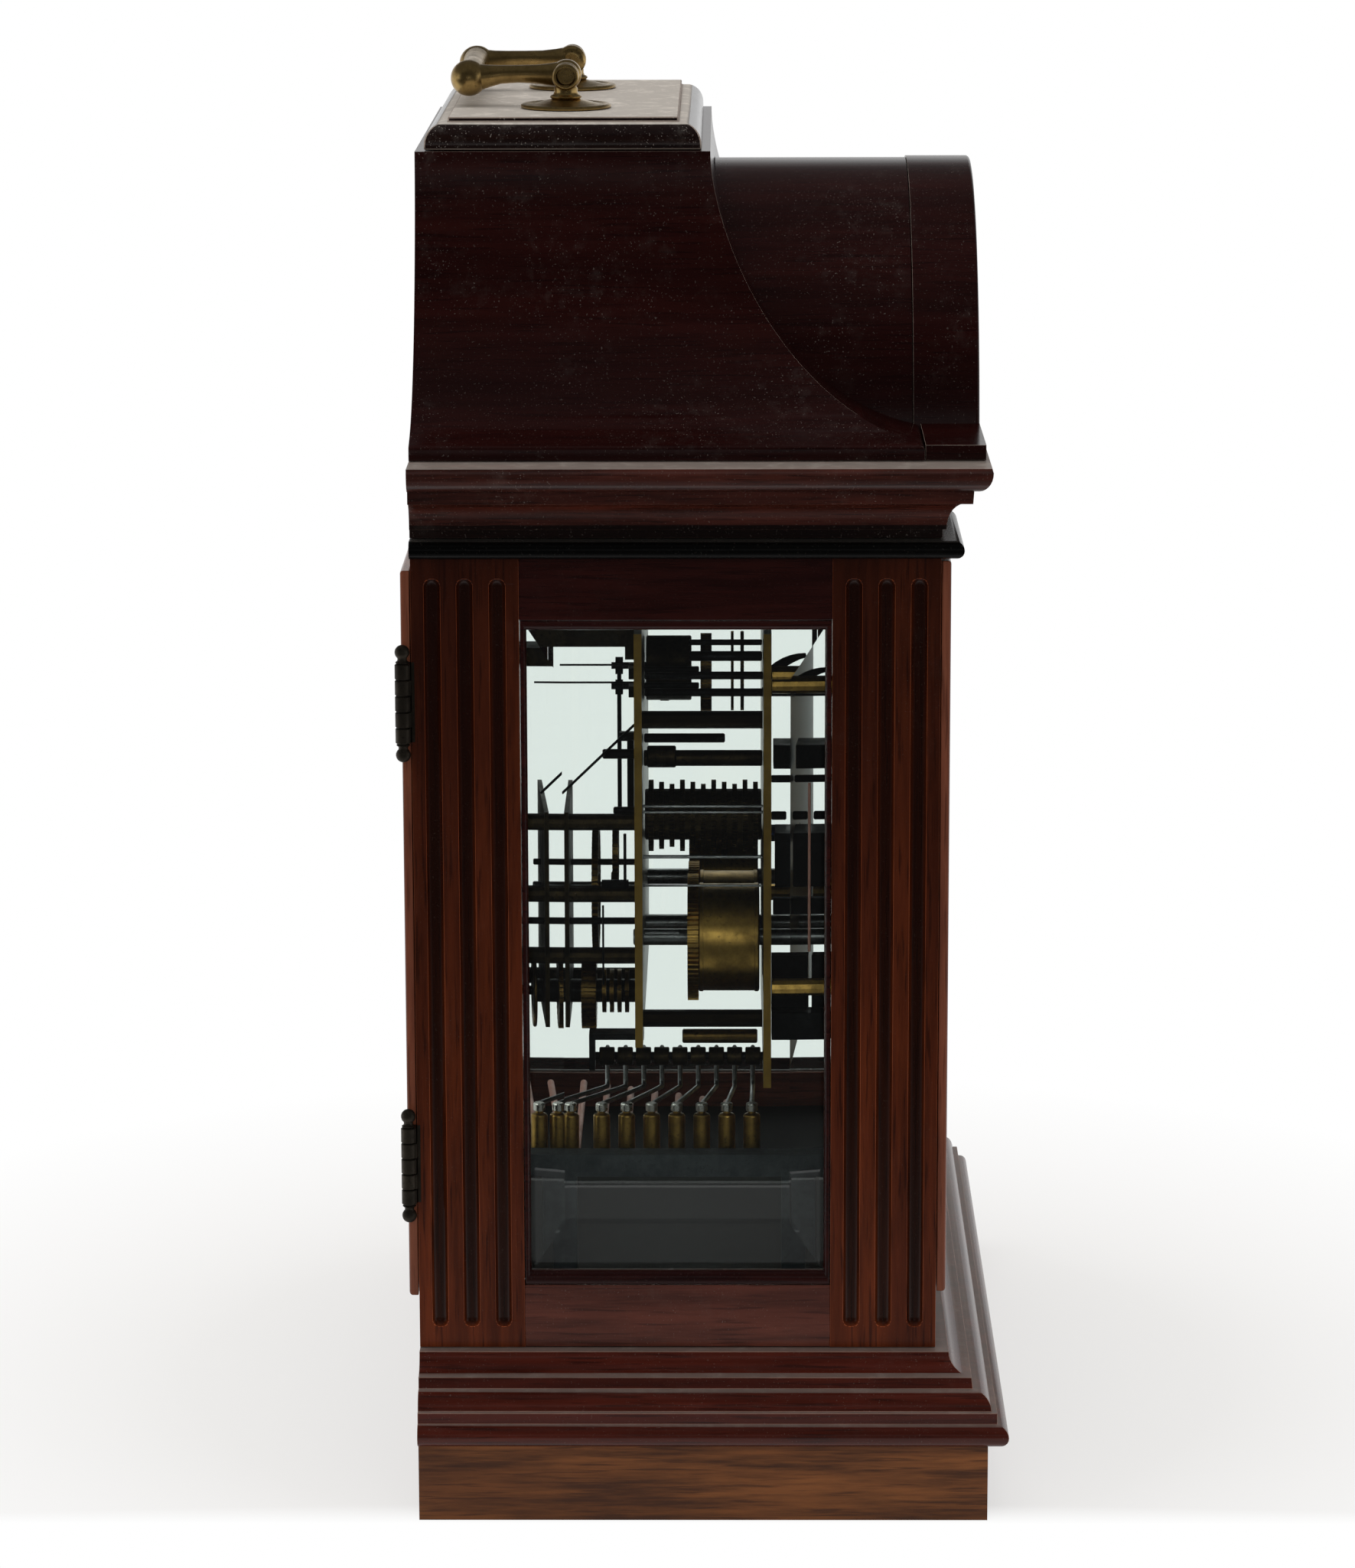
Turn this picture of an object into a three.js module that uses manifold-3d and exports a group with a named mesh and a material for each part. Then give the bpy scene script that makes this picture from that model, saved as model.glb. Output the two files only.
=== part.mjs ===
// A bracket clock with a bell top, an arched hood and bevelled side windows.
// Millimetres. +X is the clock's right as seen from the front, -Y is the front, +Z is up.
// Depths are given as a distance in front of the case's back plane and turned into Y by depthY.

import * as THREE from 'three';
import { mergeVertices } from 'three/addons/utils/BufferGeometryUtils.js';
import Module from 'manifold-3d';

const wasm = await Module();
wasm.setup();

// ---------------------------------------------------------------- driving dimensions

const gap = 0.3; // between two pieces that touch
const runningGap = 0.35; // around a turning arbor

const caseWidth = 273.4;
const caseDepth = 169;
const sideHeight = 262.5;
const sideThickness = 9;

const plinthHeight = 26.2;
const plinthOverhang = 16.8;
const plinthWall = 12;
const baseHeight = 27;
const baseNose = 23.3; // how far the base moulding's nose stands out from the case
const baseNoseRadius = 3.7;
const baseLedge = 4.3; // flat of the moulding left around the case
const bottomBoardHeight = 8.2;

const astragalHeight = 5.8;
const astragalOverhang = 4.2;
const corniceHeight = 24.3;
const corniceNose = 15.6;
const bellFootHeight = 4.5;
const bellHeight = 92.5;
const bellFootInset = 5.5; // front of the bell's foot behind the front of the case
const bellTopSideInset = 54.6;
const bellTopFrontInset = 73.4;
const topBoardHeight = 9.9;
const topBoardMargin = 2.9; // bell top left showing around the top board
const topBoardRun = 7.5; // width of the top board's rounded edge

const hoodRadius = 90;
const hoodCentreAboveSides = 23.7; // the arch's centre above the side frames
const hoodRingFront = 14; // how far the ring stands in front of the case
const hoodRingDepth = 21.5;
const hoodRingWall = 8.5;
const hoodSetBack = 0.6; // barrel of the hood below the ring's surface
const hoodDepth = 72; // from the front of the case back to the hood's back
const hoodRebate = 10; // ring's bore against the bore behind the door's lip
const shoulderHeight = 4.8;

const windowSideMargin = 34.5;
const windowBottomMargin = 21;
const windowTopMargin = 20.3;
const beadWidth = 4;
const beadThickness = 3.2;
const glassThickness = 4.5;
const glassBevel = 14;
const glassBevelDrop = 2;
const fluteWidth = 5.3;
const fluteDepth = 1.8;
const flutePitch = 10.4;
const flutesPerStile = 3;
const fluteEndMargin = 6.9;

const lipThickness = 3; // the doors' lips in front of the case
const doorBodyDepth = 9;
const doorLipInset = 0.7;
const doorBodyInset = 9.7;
const doorStile = 24.7;
const doorGlassRebate = 3;
const doorGlassThickness = 2.6;
const doorJoin = 0.5; // how far a door's body runs into its lip
const frontDoorBottomMargin = 18.9;
const frontDoorTopMargin = 1.3;
const rearDoorBottomMargin = 17.4;
const rearDoorTopMargin = 4.3;
const doorArchClearance = 2.5; // around the door's arch, so that it swings clear of the ring
const frameDepth = 6.4;
const frameStile = 16.5;

const hingeRadius = 2.45;
const hingeAxisOut = 2.7; // hinge axis beyond the case's face
const hingeKnuckles = 5;
const hingeKnuckle = 5.2;
const hingeLeafThickness = 1;
const hingeLeafWidth = 8;
const lowerHingeRise = 62.4; // hinge's middle above the foot of the side frames
const upperHingeDrop = 46.8; // hinge's middle below the top of the side frames
const hingePinRadius = 1.1;

const postSpacing = 76.8;
const rosetteRadius = 15;
const rosetteHeight = 2.6;
const postNeckRadius = 4.3;
const bailAxisHeight = 10; // above the top board
const bossRadius = 5.6;
const bossBore = 3.2;
const bossLength = 9;
const bailReach = 32.4;
const bailArmRadius = 3.3;
const bailElbowRadius = 5;
const bailEyeRadius = 5;

const dialWidth = 216;
const dialBottomMargin = 32.2; // above the foot of the side frames
const dialTopMargin = 10.3; // below the top of the side frames
const dialArchRadius = 66;
const dialThickness = 2.4;
const dialSetBack = 22; // from the front of the case back to the dial plate's back
const chapterMargin = 12; // around the chapter ring, to the nearest edge of the dial
const chapterWidth = 30;
const chapterThickness = 1.2;
const archDialRadius = 42;
const archDialRise = 2; // its centre above the arch's centre
const handThickness = 1.2;
const shownHour = 10;
const shownMinute = 10;
const hourHandMargin = 4; // the hour hand's point inside the chapter ring's inner edge
const minuteHandMargin = 6; // the minute hand's point inside the ring's outer edge
const archHandLength = 28;
const handArborRadius = 1.6;
const hourPipeRadius = 3;
const centreWheelRadius = 9;
const centreWheelBack = 29; // ahead of the back plate's rear face
const centreWheelThickness = 2;

// Places on the movement are X and a height above the centre of the hands.
// Depths on the movement are measured forward from the rear face of its back plate.
const plateMargin = 8.2; // plates beyond the outer great wheels
const plateRise = 81;
const frontPlateDrop = 71;
const backPlateDrop = 57;
const plateSpacing = 43; // from the back plate's rear face to the front plate's rear face
const plateThickness = 2.6;
const dialSpacing = 34; // from the front plate's rear face to the dial plate's back
const pillarRadius = 3;
const pillarInset = 6.7; // from the plates' sides
const pillarRises = [-48.5, 54];
const dialFootInset = 5.7;
const dialFootRises = [-37.5, 66];

const barrelRadius = 18.6;
const barrelLength = 20.7;
const barrelEndGap = 1.2; // to the front plate
const greatWheelRadius = 21.5;
const greatWheelThickness = 3.6;
const greatWheelGap = 2; // between neighbouring great wheels
const goingBarrelRise = -32;
const sideBarrelRise = -26;
const windingArborRadius = 2.8;
const windingHoleMargin = 1.2; // around a winding arbor, for the key

const drumPlace = [-28.7, -49];
const drumRadius = 4;
const drumDepths = [-29, -0.3];
const drumPivotRadius = 1.6;
const drumPivotBack = -37;
const drumGearRadius = 13;
const drumGearDepths = [-19, -14];
const drumDiscRadius = 12.6;
const drumDiscDepths = [-27.8, -26.6];
const drumCamRadius = 7.5;
const drumCamThickness = 1.4;
const drumCamPitch = 2.6;
const drumCamBack = -12;
const drumCams = 4;
const chimeWheelX = -18;
const chimeWheelRadius = 22.8;
const chimeWheelDepths = [-15.4, -13];
const chimeArborRadius = 1.5;
const chimeArborBack = -27;
const chimeCollarRadius = 5;
const chimeCollarDepths = [-9, -7];
const chimeFrameDepths = [-32.2, -24.2];
const chimeFramePlate = 1.5;
const chimeFrameBox = { left: -48, right: 4, bottom: -57, top: 18 };
const chimeFramePosts = [[-45, 14], [-45, -11], [-45, -32.5], [0, -51]];
const chimePostRadius = 2.9;

const cockWidth = 12;
const cockRise = 60;
const cockThickness = 6.5;
const cockReach = 35;
const cockFootHalf = 16;
const cockFootHeight = 14;
const cockFootThickness = 3.7;
const crutchRise = 52;
const crutchLength = 45;
const crutchWidth = 4;
const crutchDepths = [-7, -5.6];
const crutchArborRadius = 1.2;
const crutchArborDepths = [-9, 14];
const crutchColletRadius = 3;
const crutchColletDepths = [-7.6, -5];
const palletHalf = [11, 3]; // half the pallets' width and height
const palletDepths = [8, 11];

const blockX = -91.7; // near face of the cast iron rod block
const blockThickness = 8;
const blockDrop = 3.8; // its underside below the rods
const blockHeight = 7.6;
const blockEndHeight = 23;
const blockEndLength = 5;
const blockMargin = 7.4; // behind the rearmost head
const blockEndMargin = 25.9; // ahead of the foremost head
const blockFootLength = 8;
const blockFootInset = 8;
const rodRadius = 1.2;
const rodDrop = 27.2; // below the hammers' axis
const longestRod = 101;
const shortestRod = 67;
const hammerCount = 9;
const hammerHeadPitch = 8.4;
const secondHeadShift = 2; // how much nearer the second head hangs to the first
const firstHead = -28.1;
const firstHub = -10;
const hubEndGap = 0.8; // between the foremost hub and the front plate
const hammerHeadX = -79.5;
const hammerHeadRadius = 2.85;
const hammerHeadHeight = 12.5;
const hammerCapHeight = 3.6;
const hammerLift = 1.1; // between a resting head and its rod
const hammerAxisX = -52;
const hammerAxisDrop = 66; // below the centre of the hands
const hammerRodRadius = 1.5;
const railCheek = 2;
const railCheekHalf = 4;
const hammerHubRadius = 3.1;
const hammerHubLength = 5.2;
const hammerWireRadius = 0.8;

// ---------------------------------------------------------------- worked-out sizes

const halfWidth = caseWidth / 2;
const insideHalf = halfWidth - sideThickness;
const hingeReach = hingeAxisOut + hingeRadius;
const backY = (caseDepth + baseNose - hingeReach) / 2;
const depthY = (depth) => backY - depth;

const caseFoot = plinthHeight + gap + baseHeight;
const sideBottom = caseFoot + gap;
const sideTop = sideBottom + sideHeight;
const astragalBottom = sideTop + gap;
const corniceBottom = astragalBottom + astragalHeight + gap;
const bellBottom = corniceBottom + corniceHeight + gap;
const bellTop = bellBottom + bellHeight;
const topBoardBottom = bellTop + gap;
const topBoardTop = topBoardBottom + topBoardHeight;
const topBoardBack = topBoardMargin;
const topBoardFront = caseDepth - bellTopFrontInset - topBoardMargin;
const postDepth = (topBoardBack + topBoardFront) / 2;
const bailAxisZ = topBoardTop + gap + bailAxisHeight;
const hoodCentre = sideTop + hoodCentreAboveSides;
const ringFront = caseDepth + hoodRingFront;
const ringBack = ringFront - hoodRingDepth;
const ringBore = hoodRadius - hoodRingWall;
const innerBore = ringBore - hoodRebate;
const lipBack = caseDepth + gap;
const hoodBack = caseDepth - hoodDepth;
const hingeHeights = [sideBottom + lowerHingeRise, sideTop - upperHingeDrop];
const bottomBoardBack = doorBodyDepth + gap + frameDepth + gap;
const dialBack = caseDepth - dialSetBack;
const dialBottom = sideBottom + dialBottomMargin;
const dialTop = sideTop - dialTopMargin;
const dialFront = dialBack + dialThickness;
const hourHandBack = dialFront + gap + chapterThickness + 1;
const minuteHandBack = hourHandBack + handThickness + 1;
const handCentre = (dialBottom + dialTop) / 2;
const chapterOuterRadius = Math.min(dialWidth, dialTop - dialBottom) / 2 - chapterMargin;
const chapterInnerRadius = chapterOuterRadius - chapterWidth;
const hourHandLength = chapterInnerRadius - hourHandMargin;
const minuteHandLength = chapterOuterRadius - minuteHandMargin;
const archDialCentre = hoodCentre + archDialRise;

const frontPlateDepth = dialBack - dialSpacing;
const backPlateDepth = frontPlateDepth - plateSpacing;
const plateTop = handCentre + plateRise;
const frontPlateBottom = handCentre - frontPlateDrop;
const backPlateBottom = handCentre - backPlateDrop;
const barrelSpacing = 2 * greatWheelRadius + greatWheelGap;
const plateHalfWidth = barrelSpacing + greatWheelRadius + plateMargin;
const barrelPlaces = {
  going: [0, handCentre + goingBarrelRise],
  strike: [barrelSpacing, handCentre + sideBarrelRise],
  chime: [-barrelSpacing, handCentre + sideBarrelRise],
};
const crutchHeight = handCentre + crutchRise;
const hammerAxisZ = handCentre - hammerAxisDrop;
const rodHeight = hammerAxisZ - rodDrop;
const blockBottom = rodHeight - blockDrop;
// The chiming wheel stands above the drum, in mesh with its gear.
const chimeMesh = drumGearRadius + chimeWheelRadius + gap;
const chimeWheelRise = drumPlace[1] + Math.sqrt(chimeMesh ** 2 - (chimeWheelX - drumPlace[0]) ** 2);

// ---------------------------------------------------------------- solids

function solidOf(geometry) {
  const bare = geometry.clone();
  bare.deleteAttribute('normal');
  bare.deleteAttribute('uv');
  const merged = mergeVertices(bare, 1e-4);
  const mesh = new wasm.Mesh({
    numProp: 3,
    vertProperties: new Float32Array(merged.attributes.position.array),
    triVerts: new Uint32Array(merged.index.array),
  });
  return new wasm.Manifold(mesh);
}

function geometryOf(solid) {
  const mesh = solid.getMesh();
  const geometry = new THREE.BufferGeometry();
  geometry.setAttribute('position', new THREE.BufferAttribute(mesh.vertProperties, 3));
  geometry.setIndex(new THREE.BufferAttribute(mesh.triVerts, 1));
  return geometry;
}

function joined(first, ...others) {
  const start = solidOf(first);
  return geometryOf(others.reduce((whole, other) => whole.add(solidOf(other)), start));
}

function cut(body, ...tools) {
  const start = solidOf(body);
  return geometryOf(tools.reduce((whole, tool) => whole.subtract(solidOf(tool)), start));
}

// A block between two X values, two depths and two heights.
function block(left, right, back, front, bottom, top) {
  const geometry = new THREE.BoxGeometry(right - left, front - back, top - bottom);
  return geometry.translate((left + right) / 2, depthY((back + front) / 2), (bottom + top) / 2);
}

// A block on one side of the middle, between two distances from it.
function sideBlock(side, inner, outer, back, front, bottom, top) {
  const [left, right] = side < 0 ? [-outer, -inner] : [inner, outer];
  return block(left, right, back, front, bottom, top);
}

// A round bar that runs front to back, between two depths.
function depthRod(x, z, radius, back, front, sides = 12) {
  const geometry = new THREE.CylinderGeometry(radius, radius, front - back, sides);
  return geometry.translate(x, depthY((back + front) / 2), z);
}

// A round bar that runs left to right.
function crossRod(left, right, depth, z, radius, sides = 12) {
  const geometry = new THREE.CylinderGeometry(radius, radius, right - left, sides);
  return geometry.rotateZ(Math.PI / 2).translate((left + right) / 2, depthY(depth), z);
}

// A round bar that runs left to right on one side of the middle, between two distances from it.
function sideRod(side, inner, outer, depth, z, radius, sides = 12) {
  const [left, right] = side < 0 ? [-outer, -inner] : [inner, outer];
  return crossRod(left, right, depth, z, radius, sides);
}

// Depths on the movement, turned into depths from the case's back plane.
function movementDepths(depths) {
  return depths.map((depth) => backPlateDepth + depth);
}

// A round bar on the movement, at a place given from the centre of the hands.
function movementRod([x, rise], radius, [back, front], sides = 12) {
  return depthRod(x, handCentre + rise, radius, ...movementDepths([back, front]), sides);
}

// A turned piece on an upright axis; its profile lists radius and height.
function turned(profile, x, depth, z, sides = 18) {
  const points = profile.map(([radius, height]) => new THREE.Vector2(radius, height));
  return new THREE.LatheGeometry(points, sides).rotateX(Math.PI / 2).translate(x, depthY(depth), z);
}

// A flat outline of X and Z, drawn out between two depths.
function slab(outline, back, front, curveSegments = 14) {
  const geometry = new THREE.ExtrudeGeometry(outline, {
    depth: front - back,
    bevelEnabled: false,
    curveSegments,
  });
  return geometry.rotateX(Math.PI / 2).translate(0, depthY(back), 0);
}

// A round bar bent along straight stretches between points of X, depth and Z.
function wire(points, radius, sides = 8) {
  const places = points.map(([x, depth, z]) => new THREE.Vector3(x, depthY(depth), z));
  const pieces = places.slice(1).map((end, index) => {
    const start = places[index];
    const along = end.clone().sub(start);
    const piece = new THREE.CylinderGeometry(radius, radius, along.length() + radius, sides);
    const turn = new THREE.Quaternion().setFromUnitVectors(
      new THREE.Vector3(0, 1, 0),
      along.clone().normalize(),
    );
    const middle = start.clone().add(end).multiplyScalar(0.5);
    return piece.applyQuaternion(turn).translate(middle.x, middle.y, middle.z);
  });
  return pieces.length > 1 ? joined(...pieces) : pieces[0];
}

// A stack of level rectangles, joined side to side from the lowest to the highest.
function rectangleStack(levels) {
  const positions = [];
  const index = [];
  for (const { left, right, back, front, z } of levels) {
    positions.push(left, depthY(back), z, left, depthY(front), z);
    positions.push(right, depthY(front), z, right, depthY(back), z);
  }
  for (let level = 0; level + 1 < levels.length; level += 1) {
    for (let corner = 0; corner < 4; corner += 1) {
      const here = level * 4 + corner;
      const beside = level * 4 + ((corner + 1) % 4);
      index.push(here, beside, beside + 4, here, beside + 4, here + 4);
    }
  }
  const last = (levels.length - 1) * 4;
  index.push(0, 2, 1, 0, 3, 2, last, last + 1, last + 2, last, last + 2, last + 3);
  const geometry = new THREE.BufferGeometry();
  geometry.setAttribute('position', new THREE.Float32BufferAttribute(positions, 3));
  geometry.setIndex(index);
  return geometry;
}

// The same shape on the other side of the middle, with its faces wound to match.
function mirrored(geometry) {
  const other = geometry.clone().applyMatrix4(new THREE.Matrix4().makeScale(-1, 1, 1));
  const index = Array.from(geometry.index.array);
  for (let corner = 0; corner < index.length; corner += 3) {
    [index[corner + 1], index[corner + 2]] = [index[corner + 2], index[corner + 1]];
  }
  other.setIndex(index);
  return other;
}

// A board with moulded front and sides. The profile lists overhang and height above the bottom.
function mouldedBoard(profile, bottom, backOverhang = () => 0) {
  const levels = profile.map(([overhang, height]) => ({
    left: -halfWidth - overhang,
    right: halfWidth + overhang,
    back: backOverhang(overhang),
    front: caseDepth + overhang,
    z: bottom + height,
  }));
  return rectangleStack(levels);
}

// A quarter round between two profile points, upright at the first one and level at the second.
function uprightFirst([run0, rise0], [run1, rise1], steps = 6) {
  return Array.from({ length: steps + 1 }, (_, step) => {
    const angle = (step / steps) * (Math.PI / 2);
    return [run1 + (run0 - run1) * Math.cos(angle), rise0 + (rise1 - rise0) * Math.sin(angle)];
  });
}

// A quarter round between two profile points, level at the first one and upright at the second.
function levelFirst(start, end, steps = 6) {
  return uprightFirst(end, start, steps).reverse();
}

function rectangle(left, right, bottom, top) {
  const outline = new THREE.Shape();
  outline.moveTo(left, bottom);
  outline.lineTo(right, bottom);
  outline.lineTo(right, top);
  outline.lineTo(left, top);
  outline.closePath();
  return outline;
}

// A rectangle with an arch on its shoulders: straight legs up to the arch's centre, then a half circle.
function archedOutline(halfBase, bottom, shoulder, archRadius, archCentre) {
  const outline = new THREE.Shape();
  outline.moveTo(-halfBase, bottom);
  outline.lineTo(halfBase, bottom);
  outline.lineTo(halfBase, shoulder);
  outline.lineTo(archRadius, shoulder);
  outline.lineTo(archRadius, archCentre);
  outline.absarc(0, archCentre, archRadius, 0, Math.PI, false);
  outline.lineTo(-archRadius, shoulder);
  outline.lineTo(-halfBase, shoulder);
  outline.closePath();
  return outline;
}

// A solid with the hood's centre and the given radius, on straight legs that reach down to a height.
function archway(radius, bottom, back, front) {
  const outline = new THREE.Shape();
  outline.moveTo(-radius, bottom);
  outline.lineTo(radius, bottom);
  outline.lineTo(radius, hoodCentre);
  outline.absarc(0, hoodCentre, radius, 0, Math.PI, false);
  outline.closePath();
  return slab(outline, back, front);
}

function named(name, geometry, material) {
  const mesh = new THREE.Mesh(geometry, material);
  mesh.name = name;
  return mesh;
}

function finish(color, roughness, metalness) {
  return () => new THREE.MeshStandardMaterial({ color, roughness, metalness });
}

const mahogany = finish('#2b100c', 0.25, 0);
const ebonised = finish('#0d0b0c', 0.25, 0);
const plinthWood = finish('#4a3226', 0.45, 0);
const glassFinish = finish('#dfe8e6', 0.03, 0);
const antiqueBrass = finish('#7a6434', 0.35, 1);
const movementBrass = finish('#a5843f', 0.35, 1);
const bronze = finish('#3a3129', 0.4, 1);
const steel = finish('#70747a', 0.3, 1);
const silvered = finish('#c9c8c0', 0.5, 0.6);
const bluedSteel = finish('#1a2140', 0.25, 1);
const castIron = finish('#4b4e4d', 0.75, 0.4);
const copper = finish('#b07a68', 0.45, 0.8);

// ---------------------------------------------------------------- case

function plinth() {
  const outerHalf = halfWidth + plinthOverhang;
  const outerFront = caseDepth + plinthOverhang;
  const innerHalf = outerHalf - plinthWall;
  const board = block(-outerHalf, outerHalf, 0, outerFront, 0, plinthHeight);
  const well = block(-innerHalf, innerHalf, plinthWall, outerFront - plinthWall, -1, plinthHeight + 1);
  return named('plinth', cut(board, well), plinthWood());
}

function baseMoulding() {
  const noseTop = baseNoseRadius * 2;
  const torusFlat = baseNose - baseNoseRadius;
  const torus = Array.from({ length: 9 }, (_, step) => {
    const angle = ((step / 8) * 2 - 1) * (Math.PI / 2);
    return [torusFlat + baseNoseRadius * Math.cos(angle), baseNoseRadius * (1 + Math.sin(angle))];
  });
  const ovoloBottom = noseTop + 3.6;
  const ovoloTop = baseHeight - 10.2;
  const coveBottom = baseHeight - 6.5;
  const profile = [
    ...torus,
    [torusFlat, ovoloBottom],
    ...uprightFirst([torusFlat - 1.8, ovoloBottom + 0.1], [baseLedge + 8.6, ovoloTop]),
    [baseLedge + 7.6, ovoloTop + 0.1],
    [baseLedge + 7.2, coveBottom],
    ...levelFirst([baseLedge + 6.4, coveBottom + 0.1], [baseLedge, baseHeight]),
  ];
  return named('base_moulding', mouldedBoard(profile, plinthHeight + gap), mahogany());
}

function bottomBoard() {
  const half = insideHalf - gap;
  const top = sideBottom + bottomBoardHeight;
  const board = block(-half, half, bottomBoardBack, dialFront, sideBottom, top);
  return named('bottom_board', board, ebonised());
}

// One rounded groove on the outside of a side frame.
function flute(side, depth) {
  const radius = (fluteWidth ** 2 / 4 + fluteDepth ** 2) / (2 * fluteDepth);
  const bottom = sideBottom + fluteEndMargin + radius;
  const top = sideTop - fluteEndMargin - radius;
  const groove = new THREE.CapsuleGeometry(radius, top - bottom, 2, 8);
  const x = side * (halfWidth + radius - fluteDepth);
  return groove.rotateX(Math.PI / 2).translate(x, depthY(depth), (bottom + top) / 2);
}

// The heights of a hinge's two ends, with a margin beyond each.
function hingeSpan(middle, margin = 0) {
  const half = (hingeKnuckles * hingeKnuckle) / 2 + margin;
  return [middle - half, middle + half];
}

// A recess for a hinge's leaf, in the case's back face (side -1) or front face (side 1).
function hingeRecess(side, height) {
  const inner = halfWidth - hingeLeafWidth - gap;
  const thickness = hingeLeafThickness + gap;
  const depths = side < 0 ? [-1, thickness] : [caseDepth - thickness, caseDepth + 1];
  return sideBlock(side, inner, halfWidth + 1, ...depths, ...hingeSpan(height, gap));
}

// The window's edges, drawn in by an inset: depths and heights.
function windowEdges(inset) {
  return {
    back: windowSideMargin + inset,
    front: caseDepth - windowSideMargin - inset,
    bottom: sideBottom + windowBottomMargin + inset,
    top: sideTop - windowTopMargin - inset,
  };
}

function sideFrame(name, side) {
  const board = sideBlock(side, insideHalf, halfWidth, 0, caseDepth, sideBottom, sideTop);
  const { back, front, bottom, top } = windowEdges(0);
  const window = sideBlock(side, insideHalf - 1, halfWidth + 1, back, front, bottom, top);
  const flutes = [];
  for (const stileCentre of [windowSideMargin / 2, caseDepth - windowSideMargin / 2]) {
    for (let number = 0; number < flutesPerStile; number += 1) {
      const offset = (number - (flutesPerStile - 1) / 2) * flutePitch;
      flutes.push(flute(side, stileCentre + offset));
    }
  }
  const recesses = hingeHeights.map((height) => hingeRecess(side, height));
  return named(name, cut(board, window, ...flutes, ...recesses), mahogany());
}

function glassBead(name, side) {
  const outer = windowEdges(gap);
  const inner = windowEdges(gap + beadWidth);
  const outerFace = halfWidth - gap;
  const innerFace = outerFace - beadThickness;
  const ring = sideBlock(side, innerFace, outerFace, outer.back, outer.front, outer.bottom, outer.top);
  const hole = sideBlock(side, innerFace - 1, halfWidth, inner.back, inner.front, inner.bottom, inner.top);
  return named(name, cut(ring, hole), mahogany());
}

// A pane whose outer face is bevelled all round.
function sideGlass(name, side) {
  const outer = windowEdges(gap);
  const inner = windowEdges(gap + beadWidth + glassBevel);
  const outerFace = halfWidth - gap - beadThickness - gap;
  const bevelFoot = outerFace - glassBevelDrop;
  const innerFace = outerFace - glassThickness;
  const level = (edges, z) => ({
    left: edges.bottom,
    right: edges.top,
    back: edges.back,
    front: edges.front,
    z,
  });
  // The stack lies down, with its outer face up, and a quarter turn stands it in the left side.
  const pane = rectangleStack([level(outer, innerFace), level(outer, bevelFoot), level(inner, outerFace)]);
  pane.rotateY(-Math.PI / 2);
  return named(name, side < 0 ? pane : mirrored(pane), glassFinish());
}

// The frame that a door closes against, with the rails that show above and below the door.
function rearFrame() {
  const half = insideHalf - gap;
  const plateBack = doorBodyDepth + gap;
  const plateFront = plateBack + frameDepth;
  const inner = half - frameStile;
  const plate = block(-half, half, plateBack, plateFront, sideBottom, sideTop);
  const lowRail = block(-half, half, 0, plateBack, sideBottom, sideBottom + rearDoorBottomMargin - gap);
  const topRail = block(-half, half, 0, plateBack, sideTop - rearDoorTopMargin + gap, sideTop);
  const opening = block(-inner, inner, -1, plateFront + 1, dialBottom - 4, sideTop - frameStile);
  const frame = joined(plate, lowRail, topRail);
  return named('rear_frame', cut(frame, opening), mahogany());
}

function frontFrame() {
  const half = insideHalf - gap;
  const plateFront = caseDepth - doorBodyDepth - gap;
  const plateBack = dialFront + gap;
  const dialInset = 4;
  const opening = archedOutline(
    dialWidth / 2 - dialInset,
    dialBottom + dialInset,
    dialTop - dialInset,
    dialArchRadius - dialInset,
    hoodCentre,
  );
  const plate = block(-half, half, plateBack, plateFront, sideBottom, sideTop);
  const lowRail = block(
    -half,
    half,
    plateFront,
    caseDepth,
    sideBottom,
    sideBottom + frontDoorBottomMargin - gap,
  );
  const frame = joined(plate, lowRail);
  return named('front_frame', cut(frame, slab(opening, plateBack - 1, plateFront + 1)), mahogany());
}

// The way through the upper boards for the arch of the dial and of the front door.
function archNotch(bottom, top) {
  const doorway = lipBack - gap;
  const inner = block(-innerBore, innerBore, dialBack - 2, doorway + 1, bottom, top);
  const outer = block(-ringBore, ringBore, doorway, caseDepth + baseNose, bottom, top);
  return [inner, outer];
}

function astragal() {
  const radius = astragalHeight / 2;
  const profile = Array.from({ length: 9 }, (_, step) => {
    const angle = ((step / 8) * 2 - 1) * (Math.PI / 2);
    return [astragalOverhang + radius * Math.cos(angle), radius * (1 + Math.sin(angle))];
  });
  const board = mouldedBoard(profile, astragalBottom);
  const notch = archNotch(astragalBottom - 1, astragalBottom + astragalHeight + 1);
  return named('astragal', cut(board, ...notch), ebonised());
}

function cornice() {
  const coveTop = corniceHeight - 12.2;
  const ovoloBottom = corniceHeight - 8;
  const profile = [
    [0.2, 0],
    [0.2, 2.7],
    [1.4, 2.8],
    ...uprightFirst([1.5, 3.2], [corniceNose - 7.6, coveTop]),
    [corniceNose - 6.1, coveTop + 0.1],
    [corniceNose - 5.8, ovoloBottom],
    ...levelFirst([corniceNose - 5.2, ovoloBottom + 0.1], [corniceNose, corniceHeight - 1.4]),
    [corniceNose - 0.4, corniceHeight],
  ];
  const board = mouldedBoard(profile, corniceBottom);
  const notch = archNotch(corniceBottom - 1, corniceBottom + corniceHeight + 1);
  return named('cornice', cut(board, ...notch), mahogany());
}

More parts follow.
